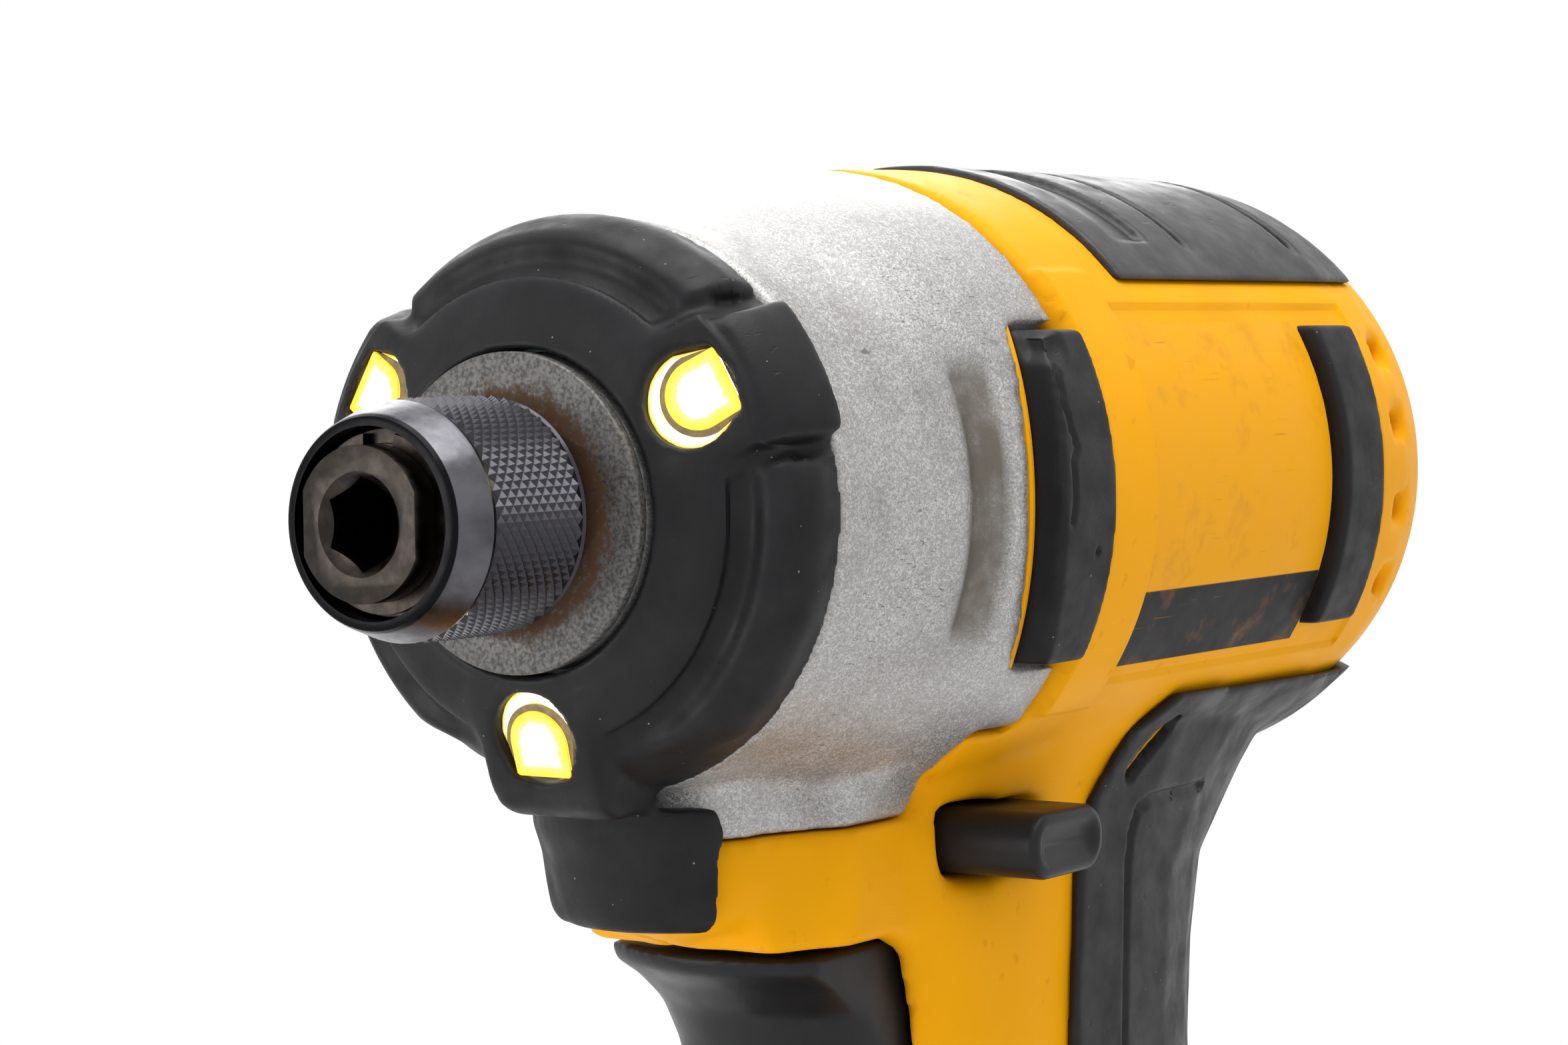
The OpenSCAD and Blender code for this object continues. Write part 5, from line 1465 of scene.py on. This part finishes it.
@dataclass
class Studio:
    """White sweep, soft lights and the camera of the photograph."""

    eye: Triple = (285.5, 184.9, 203.3)
    azimuth: float = 34.077
    elevation: float = 2.757
    roll: float = -0.768
    lens: float = 84.29
    sensor: float = 36.0
    floor_half: float = 4.0
    shadow_fade: tuple[float, float] = (0.22, 0.5)
    soft_light: float = 0.68
    aim_station: float = 60.0
    lights: tuple[tuple[str, Triple, float, float], ...] = (
        ("key", (20, 70, 640), 420, 2.3),
        ("front", (480, -220, 200), 260, 0.8),
        ("rear", (-320, -240, 420), 300, 0.9))

    def build(self) -> None:
        """Builds the surroundings."""
        self.camera()
        self.floor()
        self.world()
        for name, at, size, power in self.lights:
            self.light(name, at, size, power)

    def camera(self) -> None:
        """Sets the camera where the photograph was taken from."""
        az, el, roll = (math.radians(v) for v in (self.azimuth, self.elevation, self.roll))
        back = Vector((math.cos(az) * math.cos(el), math.sin(az) * math.cos(el), math.sin(el)))
        right = Vector((0, 0, 1)).cross(back).normalized()
        up = back.cross(right)
        leant = right * math.cos(roll) + up * math.sin(roll)
        raised = up * math.cos(roll) - right * math.sin(roll)
        turn = Matrix((leant, raised, back)).transposed().to_4x4()
        data = bpy.data.cameras.new("camera")
        data.sensor_fit = "HORIZONTAL"
        data.sensor_width = self.sensor
        data.lens = self.lens
        data.clip_start = 0.01
        eye = bpy.data.objects.new("camera", data)
        eye.matrix_world = Matrix.Translation(Vector(self.eye) * MM) @ turn
        bpy.context.scene.collection.objects.link(eye)
        bpy.context.scene.camera = eye

    def floor(self) -> None:
        """Lays a pale floor that keeps the tool's shadow and turns white away from it."""
        bm = bmesh.new()
        bmesh.ops.create_grid(bm, x_segments=1, y_segments=1, size=self.floor_half)
        mesh = bpy.data.meshes.new("floor")
        bm.to_mesh(mesh)
        bm.free()
        floor = bpy.data.objects.new("floor", mesh)
        bpy.context.scene.collection.objects.link(floor)
        g = Graph("floor_paper")
        g.set(Base_Color=g.blend(g.noise(40.0, 2.0), (0.86, 0.86, 0.86), (0.9, 0.9, 0.9)))
        g.set(Roughness=0.75)
        x, y, _ = g.axis_parts()
        away = g.maths("SQRT", g.maths("ADD", g.maths("MULTIPLY", x, x), g.maths("MULTIPLY", y, y)))
        share = g.maths("MULTIPLY", g.span(away, *self.shadow_fade), self.seen(g.nodes, g.links))
        white = g.nodes.new("ShaderNodeEmission")
        mix = g.nodes.new("ShaderNodeMixShader")
        g.put(mix.inputs[0], share)
        g.put(mix.inputs[1], g.shader.outputs[0])
        g.put(mix.inputs[2], white.outputs[0])
        g.put(g.nodes["Material Output"].inputs["Surface"], mix.outputs[0])
        mesh.materials.append(g.material)

    def seen(self, nodes: bpy.types.Nodes, links: bpy.types.NodeLinks) -> Socket:
        """Gives 1 for rays that are seen straight, mirrored or through a clear piece.

        Args:
            nodes: Nodes of the tree.
            links: Links of the tree.

        Returns:
            The share socket.
        """
        path = nodes.new("ShaderNodeLightPath")
        share = path.outputs["Is Camera Ray"]
        for name in ("Is Glossy Ray", "Is Transmission Ray"):
            node = nodes.new("ShaderNodeMath")
            node.operation = "MAXIMUM"
            links.new(share, node.inputs[0])
            links.new(path.outputs[name], node.inputs[1])
            share = node.outputs[0]
        return share

    def world(self) -> None:
        """Makes the surroundings white to the eye and soft grey as light."""
        world = bpy.data.worlds.new("surroundings")
        bpy.context.scene.world = world
        world.use_nodes = True
        nodes, links = world.node_tree.nodes, world.node_tree.links
        white = nodes["Background"]
        white.inputs["Color"].default_value = (1, 1, 1, 1)
        white.inputs["Strength"].default_value = 1.0
        soft = nodes.new("ShaderNodeBackground")
        soft.inputs["Color"].default_value = (0.98, 0.99, 1.0, 1)
        soft.inputs["Strength"].default_value = self.soft_light
        mix = nodes.new("ShaderNodeMixShader")
        links.new(self.seen(nodes, links), mix.inputs[0])
        links.new(soft.outputs[0], mix.inputs[1])
        links.new(white.outputs[0], mix.inputs[2])
        links.new(mix.outputs[0], nodes["World Output"].inputs["Surface"])

    def light(self, name: str, at: Triple, size: float, power: float) -> None:
        """Hangs a soft square light that faces the tool's head.

        Args:
            name: Name of the light.
            at: Place in millimetres.
            size: Side of the square in millimetres.
            power: Power in watts.
        """
        data = bpy.data.lights.new(name, "AREA")
        data.size = size * MM
        data.energy = power
        lamp = bpy.data.objects.new(name, data)
        place = Vector(at) * MM
        aim = TOOL.point(self.aim_station, 0, 0) - place
        lamp.matrix_world = Matrix.Translation(place) @ aim.to_track_quat("-Z", "Y").to_matrix().to_4x4()
        bpy.context.scene.collection.objects.link(lamp)


def main() -> None:
    """Dresses the tool and sets its surroundings."""
    logging.basicConfig(level=logging.INFO, format="%(message)s")
    bpy.context.scene.view_settings.view_transform = "Standard"
    Internals().dress()
    for assembly in (BitHolder(), Nose(), GearCase(), Clamshell(), Controls(), Pack(), Studio()):
        assembly.build()


if __name__ == "__main__":
    main()
